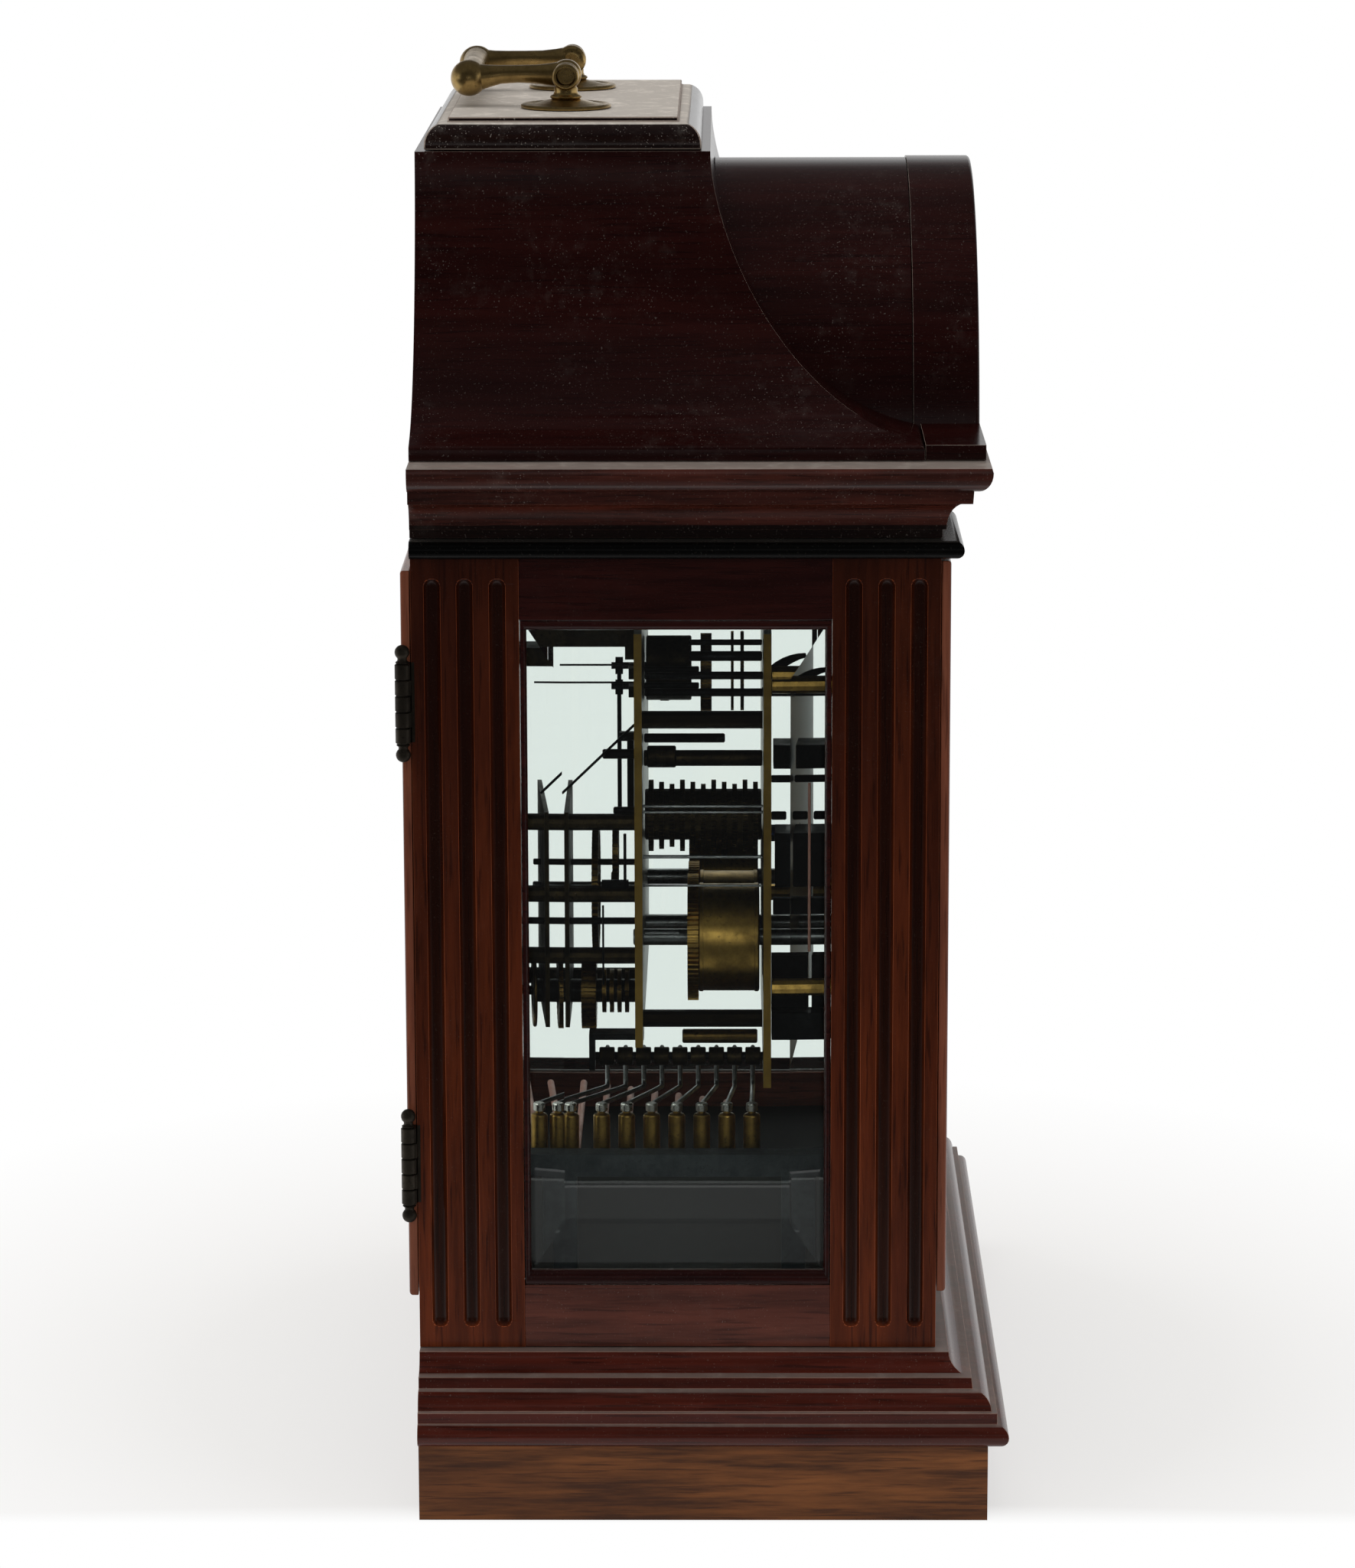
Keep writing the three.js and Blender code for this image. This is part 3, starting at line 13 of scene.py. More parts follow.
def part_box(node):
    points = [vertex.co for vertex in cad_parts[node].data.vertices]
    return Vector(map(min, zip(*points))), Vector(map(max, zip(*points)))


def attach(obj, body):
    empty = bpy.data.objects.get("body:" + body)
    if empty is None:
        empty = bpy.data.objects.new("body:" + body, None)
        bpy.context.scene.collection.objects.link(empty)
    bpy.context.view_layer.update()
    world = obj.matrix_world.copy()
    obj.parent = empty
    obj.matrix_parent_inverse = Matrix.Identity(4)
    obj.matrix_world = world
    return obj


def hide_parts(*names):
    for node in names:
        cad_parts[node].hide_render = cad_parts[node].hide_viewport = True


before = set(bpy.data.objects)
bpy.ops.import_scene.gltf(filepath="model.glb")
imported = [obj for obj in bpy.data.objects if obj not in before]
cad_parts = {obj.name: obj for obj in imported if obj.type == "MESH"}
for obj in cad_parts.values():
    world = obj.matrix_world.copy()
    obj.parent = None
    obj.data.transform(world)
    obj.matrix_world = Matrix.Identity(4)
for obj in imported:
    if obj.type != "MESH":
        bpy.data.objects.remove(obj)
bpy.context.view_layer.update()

# ---- sizes, in mm

MM = 0.001
CASE_BACK = 93.575  # from the middle of the clock to the back of the case
CASE_DEPTH = 169.0
HALF_WIDTH = 136.7
INSIDE_HALF = 127.7
SIDE_BOTTOM, SIDE_TOP = 53.8, 316.3
WINDOW_BACK, WINDOW_FRONT = 34.5, 134.5
WINDOW_BOTTOM, WINDOW_TOP = 74.8, 296.0
FLUTE_RADIUS, FLUTE_HALF, FLUTE_PITCH = 2.85, 2.65, 10.4
FLUTE_ENDS = (60.7, 309.4)
STILE_MIDDLES = (17.25, 151.75)
ARCH_CENTRE = 340.0
HOOD_BORE, HOOD_STEP = 71.5, 145.0  # the arched opening's radius, and where it begins
DOORWAY_HALF = 81.5
BELL_FOOT = 347.3  # where the bell top, the hood and its ring stand
RING_RADIUS, RING_FRONT = 90, 183.0
DIAL_CENTRE = 196.0
ARCH_DIAL_CENTRE = 342.0
RING_FACE = 150.9  # the front of the chapter ring
POST_HALF_SPACING, POST_DEPTH, BAIL_AXIS = 38.4, 47.8, 460.3
BAIL_REACH = 32.4
HINGE_OUT = 139.1  # from the middle of the clock to a hinge's axis
HINGE_MIDDLES = (116.2, 269.5)
KNUCKLE_LENGTH = 5.2
KNUCKLE_RADIUS = 2.45
BARRELS = {"chime": (-45.0, 170.0), "going": (0.0, 164.0), "strike": (45.0, 170.0)}
DRUM = (-28.7, 147.0)
CHIME_WHEEL = (-18.0, 181.478)
HAMMER_AXIS = (-52.0, 130.0)
HAMMER_HEAD_X = -79.5
HAMMER_HEAD_BOTTOM = 105.1
ROD_HEIGHT = 102.8
ROD_START = -83.4
POINT = 0.01  # the radius at which a turned shape is closed


# ---- shapes


def turns(count):
    """Equal turns round a circle, in radians."""
    return [2 * math.pi * i / count for i in range(count)]


def circle(middle, first, second, radius, sides):
    """Points round a middle, in the plane of two directions."""
    spokes = [first * math.cos(turn) + second * math.sin(turn) for turn in turns(sides)]
    return [tuple(middle + spoke * radius) for spoke in spokes]


class Shape:
    """Points and faces gathered for one piece."""

    def __init__(self):
        self.points = []
        self.faces = []

    def loft(self, rings, looped=False):
        """Skins a run of rings that have equally many points, and closes its ends unless it is looped."""
        start, size = len(self.points), len(rings[0])
        for ring in rings:
            self.points.extend(ring)
        for number in range(len(rings) if looped else len(rings) - 1):
            low = start + number * size
            high = start + (number + 1) % len(rings) * size
            for i in range(size):
                k = (i + 1) % size
                self.faces.append((low + i, low + k, high + k, high + i))
        if not looped:
            last = start + (len(rings) - 1) * size
            self.faces.append(tuple(range(start, start + size)))
            self.faces.append(tuple(range(last, last + size)))
        return self

    def box(self, across, depth, up):
        corners = [(across[0], depth[0]), (across[1], depth[0]), (across[1], depth[1]), (across[0], depth[1])]
        return self.loft([[(x, d, z) for x, d in corners] for z in up])

    def slab(self, outline, back, front):
        """A flat plate with an outline (across, up) and two depths."""
        return self.loft([[(x, depth, z) for x, z in outline] for depth in (back, front)])

    def turned(self, profile, start, axis, sides=24, looped=False):
        """Turns a profile of (distance along, radius) about an axis from a start point."""
        along = Vector(axis).normalized()
        first = along.orthogonal().normalized()
        second = along.cross(first)
        rings = []
        for distance, radius in profile:
            rings.append(circle(Vector(start) + along * distance, first, second, radius, sides))
        return self.loft(rings, looped)

    def tube(self, path, radii, sides=12):
        """A round bar along a path. The radius is one number, or one for each point."""
        path = [Vector(point) for point in path]
        radii = radii if hasattr(radii, "__len__") else [radii] * len(path)
        first = (path[1] - path[0]).orthogonal().normalized()
        rings = []
        for i, middle in enumerate(path):
            before = path[max(i - 1, 0)]
            after = path[min(i + 1, len(path) - 1)]
            along = (after - before).normalized()
            first = (first - along * first.dot(along)).normalized()
            second = along.cross(first)
            rings.append(circle(middle, first, second, radii[i], sides))
        return self.loft(rings)

    def rod(self, x, z, radius, back, front, sides=16):
        """A round bar from back to front, with a small chamfer at both ends."""
        edge = min(0.3 * radius, 0.4)
        length = front - back
        profile = [(0, POINT), (0, radius - edge), (edge, radius), (length - edge, radius)]
        profile += [(length, radius - edge), (length, POINT)]
        return self.turned(profile, (x, back, z), (0, 1, 0), sides)

    def wheel(self, x, z, tip, root, teeth, back, front):
        """A toothed wheel."""
        outline = []
        for tooth in range(teeth):
            for share, radius in ((0.0, root), (0.22, root), (0.34, tip), (0.62, tip), (0.74, root)):
                turn = 2 * math.pi * (tooth + share) / teeth
                outline.append((x + radius * math.sin(turn), z + radius * math.cos(turn)))
        return self.slab(outline, back, front)


def quarter(start, end, upright_first, steps=8):
    """A quarter of an ellipse between two points, upright or level where it starts."""
    turns = [math.pi / 2 * i / steps for i in range(steps + 1)]
    (a, low), (b, high) = start, end
    if upright_first:
        return [(b + (a - b) * math.cos(t), low + (high - low) * math.sin(t)) for t in turns]
    return [(a + (b - a) * math.sin(t), high + (low - high) * math.cos(t)) for t in turns]


def arc(centre, radius, start, end, steps):
    """Points on an arc from one angle to another, in degrees."""
    turns = [math.radians(start + (end - start) * i / steps) for i in range(steps + 1)]
    return [(centre[0] + radius * math.cos(t), centre[1] + radius * math.sin(t)) for t in turns]


def ball(radius, first, step, middle=0.0):
    """A ball's profile from an angle in degrees to its far end."""
    angles = [math.radians(angle) for angle in range(first, 90, step)]
    return [(middle + radius * math.sin(t), radius * math.cos(t)) for t in angles]


def round_edges(piece, width, angle, edge_wear_and_highlight=None):
    """A small bevel on sharp edges, with an edge material of its own: wear and dust on some, a painted
    highlight on others.
    """
    edges = piece.modifiers.new("edges", "BEVEL")
    edges.width = width * MM
    edges.segments = 2
    edges.limit_method = "ANGLE"
    edges.angle_limit = math.radians(angle)
    if edge_wear_and_highlight:
        piece.data.materials.append(edge_wear_and_highlight)
        edges.material = len(piece.data.materials) - 1


def add_piece(name, shape, material, body="case", replaces=(), smooth=32, bevel=0.0, edge_wear_and_highlight=None):
    """Makes a piece of a shape, with smooth shading up to an angle and a small bevel on its edges."""
    mesh = bpy.data.meshes.new(name)
    points = [(x * MM, (CASE_BACK - depth) * MM, z * MM) for x, depth, z in shape.points]
    mesh.from_pydata(points, [], shape.faces)
    work = bmesh.new()
    work.from_mesh(mesh)
    bmesh.ops.remove_doubles(work, verts=work.verts, dist=0.002 * MM)
    bmesh.ops.recalc_face_normals(work, faces=work.faces)
    work.to_mesh(mesh)
    work.free()
    mesh.shade_smooth()
    mesh.set_sharp_from_angle(angle=math.radians(smooth))
    mesh.materials.append(material)
    piece = bpy.data.objects.new(name, mesh)
    bpy.context.scene.collection.objects.link(piece)
    if bevel:
        round_edges(piece, bevel, smooth, edge_wear_and_highlight)
    normals = piece.modifiers.new("normals", "WEIGHTED_NORMAL")
    normals.keep_sharp = True
    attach(piece, body)
    if replaces:
        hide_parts(*replaces)
    return piece


def cut_away(piece, tool):
    """Cuts one piece out of another, and removes the tool."""
    change = piece.modifiers.new("cut", "BOOLEAN")
    change.operation = "DIFFERENCE"
    change.solver = "EXACT"
    change.object = tool
    bpy.context.view_layer.update()
    graph = bpy.context.evaluated_depsgraph_get()
    mesh = bpy.data.meshes.new_from_object(piece.evaluated_get(graph))
    piece.modifiers.clear()
    piece.data = mesh
    bpy.data.objects.remove(tool)


# ---- materials


def colour(text):
    """A colour written as six hex digits."""
    parts = [int(text[i:i + 2], 16) / 255 for i in (0, 2, 4)]
    linear = [p / 12.92 if p <= 0.04045 else ((p + 0.055) / 1.055) ** 2.4 for p in parts]
    return (*linear, 1.0)


class Nodes:
    """The nodes of a material or a world, added and joined one after another."""

    def __init__(self, owner, output, place):
        owner.use_nodes = True
        self.tree = owner.node_tree
        self.nodes = self.tree.nodes
        self.surface = self.nodes[output].inputs["Surface"]
        self.place = self.add("ShaderNodeTexCoord").outputs[place]

    def fill(self, socket, value):
        """Gives a socket a value, or joins another socket to it."""
        if isinstance(value, bpy.types.NodeSocket):
            self.tree.links.new(value, socket)
        else:
            socket.default_value = value

    def add(self, kind, inputs=(), **settings):
        node = self.nodes.new(kind)
        for name, value in settings.items():
            setattr(node, name, value)
        for socket, value in dict(inputs).items():
            self.fill(node.inputs[socket], value)
        return node

    def noise(self, scale, detail=3.0, stretch=(1, 1, 1), offset=(0, 0, 0), roughness=0.55):
        """Noise between 0 and 1 at a scale per metre, stretched along an axis."""
        mapping = self.add("ShaderNodeMapping", {"Vector": self.place, "Scale": stretch, "Location": offset})
        sockets = {"Vector": mapping.outputs[0], "Scale": scale, "Detail": detail, "Roughness": roughness}
        return self.add("ShaderNodeTexNoise", sockets).outputs["Fac"]

    def span(self, value, low, high, out_low=0.0, out_high=1.0):
        """Turns a value from low to high into one from out_low to out_high."""
        sockets = {"Value": value, "From Min": low, "From Max": high, "To Min": out_low, "To Max": out_high}
        return self.add("ShaderNodeMapRange", sockets).outputs[0]

    def times(self, first, second):
        return self.add("ShaderNodeMath", {0: first, 1: second}, operation="MULTIPLY").outputs[0]

    def larger(self, first, second):
        return self.add("ShaderNodeMath", {0: first, 1: second}, operation="MAXIMUM").outputs[0]

    def mix(self, share, first, second):
        node = self.add("ShaderNodeMix", data_type="RGBA")
        sockets = [s for s in node.inputs if s.enabled]
        for socket, value in zip(sockets, (share, first, second)):
            self.fill(socket, value)
        return [s for s in node.outputs if s.enabled][0]

    def axis(self, letter, vector=None):
        """One coordinate of a vector, or else of the place."""
        vector = self.place if vector is None else vector
        return self.add("ShaderNodeSeparateXYZ", {0: vector}).outputs[letter]

    def off_middle(self):
        """How far a place is from the clock's middle plane."""
        return self.add("ShaderNodeMath", {0: self.axis("X")}, operation="ABSOLUTE").outputs[0]

    def blend(self, share, first, second):
        """A mix of two nodes' shaders."""
        return self.add("ShaderNodeMixShader", {0: share, 1: first.outputs[0], 2: second.outputs[0]})

    def show(self, node):
        self.fill(self.surface, node.outputs[0])


class Finish(Nodes):
    """A material round its principled shader."""

    def __init__(self, name, **sockets):
        self.material = bpy.data.materials.new(name)
        super().__init__(self.material, "Material Output", "Object")
        self.shader = self.nodes["Principled BSDF"]
        for socket, value in sockets.items():
            self.shader.inputs[socket.replace("_", " ")].default_value = value

    def set(self, socket, value):
        self.fill(self.shader.inputs[socket], value)

    def bump(self, height, distance, strength):
        sockets = {"Height": height, "Distance": distance * MM, "Strength": strength}
        self.set("Normal", self.add("ShaderNodeBump", sockets).outputs[0])

    def facing_up(self, low, high):
        """How far a surface faces up."""
        normal = self.add("ShaderNodeNewGeometry").outputs["Normal"]
        return self.span(self.axis("Z", normal), low, high)


def wood(name, grain, dark, mid, light, dust=0.1, settled=0.1, roughness=0.22, streaks=0.5, shine=0.35,
         hollow=None, dark_below=None, shade_upwards=None):
    """Polished wood with its grain along one axis, fine dark pores, and dust.

    Dust is what clings in specks and smudges anywhere, and settled what lies on faces that look up.
    Hollow is a colour of painted shade for what is cut into the outer faces at the sides, and dark_below the
    height in mm under which the wood is nearly black. Painted shade also darkens the wood upwards between
    a pair of heights in mm.
    """
    finish = Finish(name, IOR=1.5, Specular_IOR_Level=shine)
    stretch = [1.0 if axis != grain else 0.07 for axis in "xyz"]
    figure = finish.noise(55, 4, stretch, (0.3, 0.1, 0.7))
    bands = finish.noise(260, 5, stretch, (1.3, 2.1, 0.2), 0.65)
    fine = [1.0 if axis != grain else 0.045 for axis in "xyz"]
    pores = finish.span(finish.noise(900, 2, fine, (4.0, 1.0, 2.0)), 0.34, 0.44)
    body = finish.mix(finish.span(figure, 0.35, 0.68), colour(mid), colour(light))
    body = finish.mix(finish.span(bands, 0.36, 0.62, streaks, 0.0), body, colour(dark))
    body = finish.mix(finish.span(pores, 0.0, 1.0, 0.6, 0.0), body, colour(dark))
    # Painted shade: what is cut in at the sides, the flutes, turns to the hollow colour.
    if hollow:
        low, high = (HALF_WIDTH - 1.5) * MM, (HALF_WIDTH - 0.1) * MM
        body = finish.mix(finish.span(finish.off_middle(), low, high, 0.85, 0.0), body, colour(hollow))
    # Painted shade: between two heights the wood darkens upwards, lighter below where light comes from
    # beneath.
    if shade_upwards:
        low, high = shade_upwards[0] * MM, shade_upwards[1] * MM
        body = finish.mix(finish.span(finish.axis("Z"), low, high, 0.0, 0.75), body, colour(dark))
    if dark_below:
        low, high = (dark_below - 0.3) * MM, (dark_below + 0.3) * MM
        body = finish.mix(finish.span(finish.axis("Z"), low, high, 0.9, 0.0), body, colour("090403"))
    specks = finish.span(finish.noise(1500, 1, offset=(3, 5, 1)), 0.68, 0.73)
    patches = finish.span(finish.noise(26, 4, offset=(7, 2, 4), roughness=0.7), 0.46, 0.74)
    film = finish.span(finish.noise(150, 6, offset=(2, 9, 5), roughness=0.75), 0.5, 0.8)
    smudge = finish.times(finish.times(patches, film), 0.35)
    scattered = finish.times(specks, finish.span(patches, 0.0, 1.0, 0.3, 1.0))
    clinging = finish.times(finish.larger(scattered, smudge), dust)
    lying = finish.times(finish.facing_up(0.93, 0.99), finish.span(film, 0.0, 1.0, 0.55 * settled, settled))
    cover = finish.larger(clinging, lying)
    finish.set("Base Color", finish.mix(cover, body, colour("cdc4b9")))
    finish.set("Roughness", finish.span(cover, 0.0, 0.5, roughness, 0.6))
    finish.bump(finish.larger(pores, finish.span(film, 0, 1, 0.6, 1.0)), 0.02, 0.4)
    return finish.material


def metal(name, base, stain, roughness, wear, metallic=1.0, brushed=None):
    """Metal with a darker stain in patches and fine scratches."""
    finish = Finish(name, Metallic=metallic)
    patches = finish.span(finish.noise(90, 5, offset=(1, 4, 2), roughness=0.7), 0.36, 0.66)
    spots = finish.span(finish.noise(810, 3, offset=(5, 1, 7)), 0.52, 0.7)
    cover = finish.times(finish.larger(patches, spots), wear)
    finish.set("Base Color", finish.mix(cover, colour(base), colour(stain)))
    finish.set("Roughness", finish.span(patches, 0.0, 1.0, roughness, roughness + 0.18))
    stretch = [1.0 if axis != brushed else 0.03 for axis in "xyz"]
    finish.bump(finish.noise(2600, 2, stretch, (2, 2, 2)), 0.01, 0.35)
    return finish.material


def plate_metal(name, base, dark, edge):
    """Brass polished at the plates' outer edges and tarnished nearer than an edge, in mm, to the middle."""
    finish = Finish(name, Metallic=1.0, Roughness=0.36)
    patches = finish.span(finish.noise(120, 4, offset=(2, 3, 1)), 0.35, 0.7, 0.7, 1.0)
    bright = finish.times(finish.span(finish.off_middle(), edge * MM, (edge + 0.5) * MM), patches)
    finish.set("Base Color", finish.mix(bright, colour(dark), colour(base)))
    finish.bump(finish.noise(2600, 2, offset=(2, 2, 2)), 0.01, 0.35)
    return finish.material


def glass(name, tint, film):
    """Clear glass that lamps shine through, with a faint film of dirt."""
    finish = Finish(name, Roughness=0.0, IOR=1.5, Transmission_Weight=1.0, Base_Color=colour(tint))
    streaks = finish.noise(60, 5, (1, 1, 0.25), (3, 1, 2), 0.7)
    spots = finish.noise(420, 3, offset=(6, 2, 8))
    dirt = finish.times(finish.span(streaks, 0.5, 0.8), finish.span(spots, 0.4, 0.75, 0.2, 1.0))
    smear = finish.add("ShaderNodeBsdfDiffuse", {"Color": colour("aab4ae")})
    soiled = finish.blend(finish.times(dirt, film), finish.shader, smear)
    rays = finish.add("ShaderNodeLightPath").outputs
    open_air = finish.add("ShaderNodeBsdfTransparent", {"Color": colour(tint)})
    finish.show(finish.blend(rays["Is Shadow Ray"], soiled, open_air))
    return finish.material


# The stiles' wood: painted shade in the flutes, and painted shade that deepens upwards.
upright_wood = wood("mahogany_upright", "z", "190603", "4a1e0d", "682d13", dust=0.03, shine=0.2,
                    hollow="100502", shade_upwards=(80, 310))
# A brighter copy of the stiles' wood for their sharp edges: a painted highlight, with painted shade upwards.
land_edge_highlight = wood("land_edge_highlight", "z", "54240f", "96451f", "b8633a", dust=0.1, shade_upwards=(60, 420))
# The rails' wood in two copies: the low rail's is lighter than the top rail's, painted light from below.
rail_wood = wood("mahogany_rail", "y", "150404", "210807", "300f0b", dust=0.03, streaks=0.7, shine=0.25)
lit_low_rail_wood = wood("mahogany_low_rail_lit", "y", "2a120c", "4b2319", "633327", dust=0.1, streaks=0.6)
cornice_wood = wood("mahogany_cornice", "y", "190806", "35150f", "50251b", dust=0.15, settled=0.5,
                    streaks=0.7, dark_below=327.0)
lid_wood = wood("mahogany_lid", "y", "0c0404", "140706", "1e0e08", dust=0.35, settled=1.25, roughness=0.16)
bell_wood = wood("mahogany_bell", "y", "110303", "190605", "250a08", dust=0.13, settled=0.0, roughness=0.2,
                 shine=0.15)
door_wood = wood("mahogany_door", "z", "3e1d13", "6f3b29", "88523b", dust=0.03)
frame_wood = wood("mahogany_frame", "z", "1a0805", "2c100a", "3c170d", roughness=0.4)
base_wood = wood("mahogany_base", "y", "200905", "3b130a", "541e12", dust=0.1, settled=0.35, shine=0.22)
plinth_wood = wood("plinth_wood", "y", "331a0e", "5f361c", "86522c", dust=0.02, roughness=0.42,
                   streaks=0.85, shine=0.2)
ebonised = wood("ebonised_wood", "y", "030303", "050505", "090807", dust=0.04, settled=0.1, shine=0.12)
# The bottom board is near black.
floor_board = wood("near_black_board", "y", "050505", "090808", "100e0d", dust=0.0, settled=0.0, roughness=0.7,
                   shine=0.08)
worn_edge = wood("worn_edge", "y", "553429", "7a5548", "9c7a69", dust=0.3, settled=0.5, roughness=0.45)
# Pale edge colour: dust, and a painted highlight along edges such as the bell top's front curve.
dust_and_highlight_edge = wood("dust_and_highlight_edge", "y", "6a5a50", "8d7f74", "ab9d91", dust=0.4, settled=0.8, roughness=0.6)
antique_brass = metal("antique_brass", "b79a63", "57482c", 0.24, 0.6)
movement_brass = metal("movement_brass", "a98645", "4a3a1d", 0.3, 0.6)
wheel_brass = metal("wheel_brass", "6d552d", "2b2113", 0.35, 0.7)
dark_brass = metal("tarnished_brass", "392f1e", "0e0b07", 0.42, 0.8)
steel = metal("steel", "8d8f90", "3c3b39", 0.28, 0.6)
dark_steel = metal("dark_steel", "1d1e20", "0a0b0c", 0.4, 0.7)
blued_steel = metal("blued_steel", "16203f", "0a0e1c", 0.2, 0.4)
bronze = metal("bronze", "3d372f", "1b1815", 0.42, 0.7, 0.85)
nickel = metal("nickel", "c4c2bc", "7d7a70", 0.18, 0.35)
silvered = metal("silvered_brass", "c9c6bb", "a29d8d", 0.42, 0.35, brushed="x")
iron = metal("cast_iron", "2c3033", "16181a", 0.7, 0.7, 0.1)
copper = metal("copper", "c39184", "97675a", 0.45, 0.5, 0.35)
black_wax = metal("black_wax", "0c0b0b", "171615", 0.4, 0.4, 0.0)
plate_brass = plate_metal("plate_brass", "ab8742", "1c160d", 74.0)
clear_glass = glass("clear_glass", "f4faf7", 0.004)


# ---- the case


def oblong(half, back, front, z):
    """A rectangle at one height."""
    return [(-half, back, z), (half, back, z), (half, front, z), (-half, front, z)]


def notched(overhang, z):
    """The case's outline grown by an overhang, with a notch for the arch at its front."""
    half, front = HALF_WIDTH + overhang, CASE_DEPTH + overhang
    right = [(half, 0.0), (half, front), (DOORWAY_HALF, front), (DOORWAY_HALF, CASE_DEPTH)]
    right += [(HOOD_BORE, CASE_DEPTH), (HOOD_BORE, HOOD_STEP)]
    left = [(-x, depth) for x, depth in reversed(right)]
    return [(x, depth, z) for x, depth in right + left]


def add_mouldings():
    nose = arc((19.6, 3.7), 3.7, -90, 90, 12)
    base = [(0.0, 0.0), *nose, (19.6, 11.0), *quarter((17.8, 11.1), (12.9, 16.8), True), (11.9, 16.9)]
    base += [(11.5, 20.5), *quarter((10.7, 20.6), (4.3, 27.0), False)]
    rings = [oblong(HALF_WIDTH + out, 0.0, CASE_DEPTH + out, 26.5 + rise) for out, rise in base]
    shape = Shape().loft(rings)
    add_piece("base_moulding_piece", shape, base_wood, replaces=["base_moulding"], bevel=0.35,
              edge_wear_and_highlight=worn_edge)

    nose = arc((0.0, 2.9), 2.9, -90, 90, 12)
    shape = Shape().loft([notched(4.2 + out, 316.6 + rise) for out, rise in nose])
    add_piece("astragal_piece", shape, ebonised, replaces=["astragal"], bevel=0.3)

    crown = [(0.2, 0.0), (0.2, 2.7), (1.4, 2.8), *quarter((1.5, 3.2), (8.0, 12.1), True), (9.5, 12.2)]
    crown += [(9.8, 16.3), *quarter((10.4, 16.4), (15.6, 22.9), False), (15.2, 24.3)]
    shape = Shape().loft([notched(out, 322.7 + rise) for out, rise in crown])
    add_piece("cornice_piece", shape, cornice_wood, replaces=["cornice"], bevel=0.35,
              edge_wear_and_highlight=worn_edge)

    lid = [(0.0, 0.0), (0.0, 1.4), *quarter((0.0, 1.5), (6.1, 8.2), True), (7.5, 8.3), (7.5, 9.9)]
    rings = [oblong(79.2 - run, 2.9 + run, 92.7 - run, 440.1 + rise) for run, rise in lid]
    # The top board's edges: dust and a painted highlight.
    add_piece("top_board_piece", Shape().loft(rings), lid_wood, replaces=["top_board"], bevel=0.4,
              edge_wear_and_highlight=dust_and_highlight_edge)


def add_bell_top():
    """The hollow-sided top: its sides and front sweep in along one curve."""
    foot, waist = Vector((67.9, 4.5)), Vector((0.0, 92.5))
    near_foot, near_waist = Vector((21.73, 13.0)), Vector((0.0, 67.5))
    curve = [Vector(p) for p in ((67.9, 0.0), (67.9, 3.4), (67.6, 4.1), (66.8, 4.6), (65.4, 4.95))]
    for i in range(2, 49):
        t = i / 48
        lower = foot * (1 - t) ** 3 + near_foot * 3 * t * (1 - t) ** 2
        curve.append(lower + near_waist * 3 * t * t * (1 - t) + waist * t**3)
    rings = []
    for run, rise in curve:
        half = HALF_WIDTH - 54.6 * (1 - run / 67.9) - 0.3
        rings.append(oblong(half, 0.0, 95.6 + run, BELL_FOOT + rise))
    bell = add_piece("bell_top_piece", Shape().loft(rings), bell_wood, replaces=["bell_top"])
    drum = Shape().turned([(0, 90.3), (120, 90.3)], (0, 96.7, ARCH_CENTRE), (0, 1, 0), 128)
    tool = add_piece("bell_cut", drum, bell_wood)
    cut_away(bell, tool)
    # The bell top's edges: dust, and a painted highlight along its front curve.
    round_edges(bell, 0.9, 45, dust_and_highlight_edge)


def arch_path(radius):
    """An arch about the arch's centre that stands on the cornice, as (across, up)."""
    start = math.degrees(math.asin((BELL_FOOT - ARCH_CENTRE) / radius))
    return arc((0, ARCH_CENTRE), radius, start, 180 - start, 64)


def add_arch():
    hood = Shape().slab(arch_path(89.4), 97.0, HOOD_STEP)
    hood.slab(arch_path(89.4) + arch_path(HOOD_BORE)[::-1], HOOD_STEP, 161.2)
    add_piece("arch_hood_piece", hood, bell_wood, replaces=["arch_hood"])

    def hoop(bore, radius, depth):
        return [(x, depth, z) for x, z in arch_path(radius) + arch_path(bore)[::-1]]

    edge = 1.2
    face = [
        hoop(DOORWAY_HALF + edge - out, RING_RADIUS - edge + out, RING_FRONT - edge + rise)
        for out, rise in arc((0, 0), edge, 0, 90, 5)
    ]
    ring = Shape().loft([hoop(HOOD_BORE, RING_RADIUS, 161.5), hoop(HOOD_BORE, RING_RADIUS, CASE_DEPTH)])
    ring.loft([hoop(DOORWAY_HALF, RING_RADIUS, CASE_DEPTH), *face])
    for side in (-1, 1):
        across = sorted((side * 81.6, side * 135.7))
        ring.box(across, (163.8, RING_FRONT), (BELL_FOOT, 352.1))
    # The ring's edges: dust and a painted highlight.
    add_piece("arch_ring_piece", ring, bell_wood, replaces=["arch_ring"], bevel=0.4,
              edge_wear_and_highlight=dust_and_highlight_edge)


def flute_depth(depth, z, middle):
    """How deep a stile is cut at a point by its three round-ended flutes."""
    nearest = min((middle - FLUTE_PITCH, middle, middle + FLUTE_PITCH), key=lambda line: abs(depth - line))
    end = min(max(z, FLUTE_ENDS[0] + FLUTE_HALF), FLUTE_ENDS[1] - FLUTE_HALF)
    away = math.hypot(depth - nearest, z - end)
    if away >= FLUTE_HALF:
        return 0.0
    return math.sqrt(FLUTE_RADIUS**2 - away**2) - math.sqrt(FLUTE_RADIUS**2 - FLUTE_HALF**2)


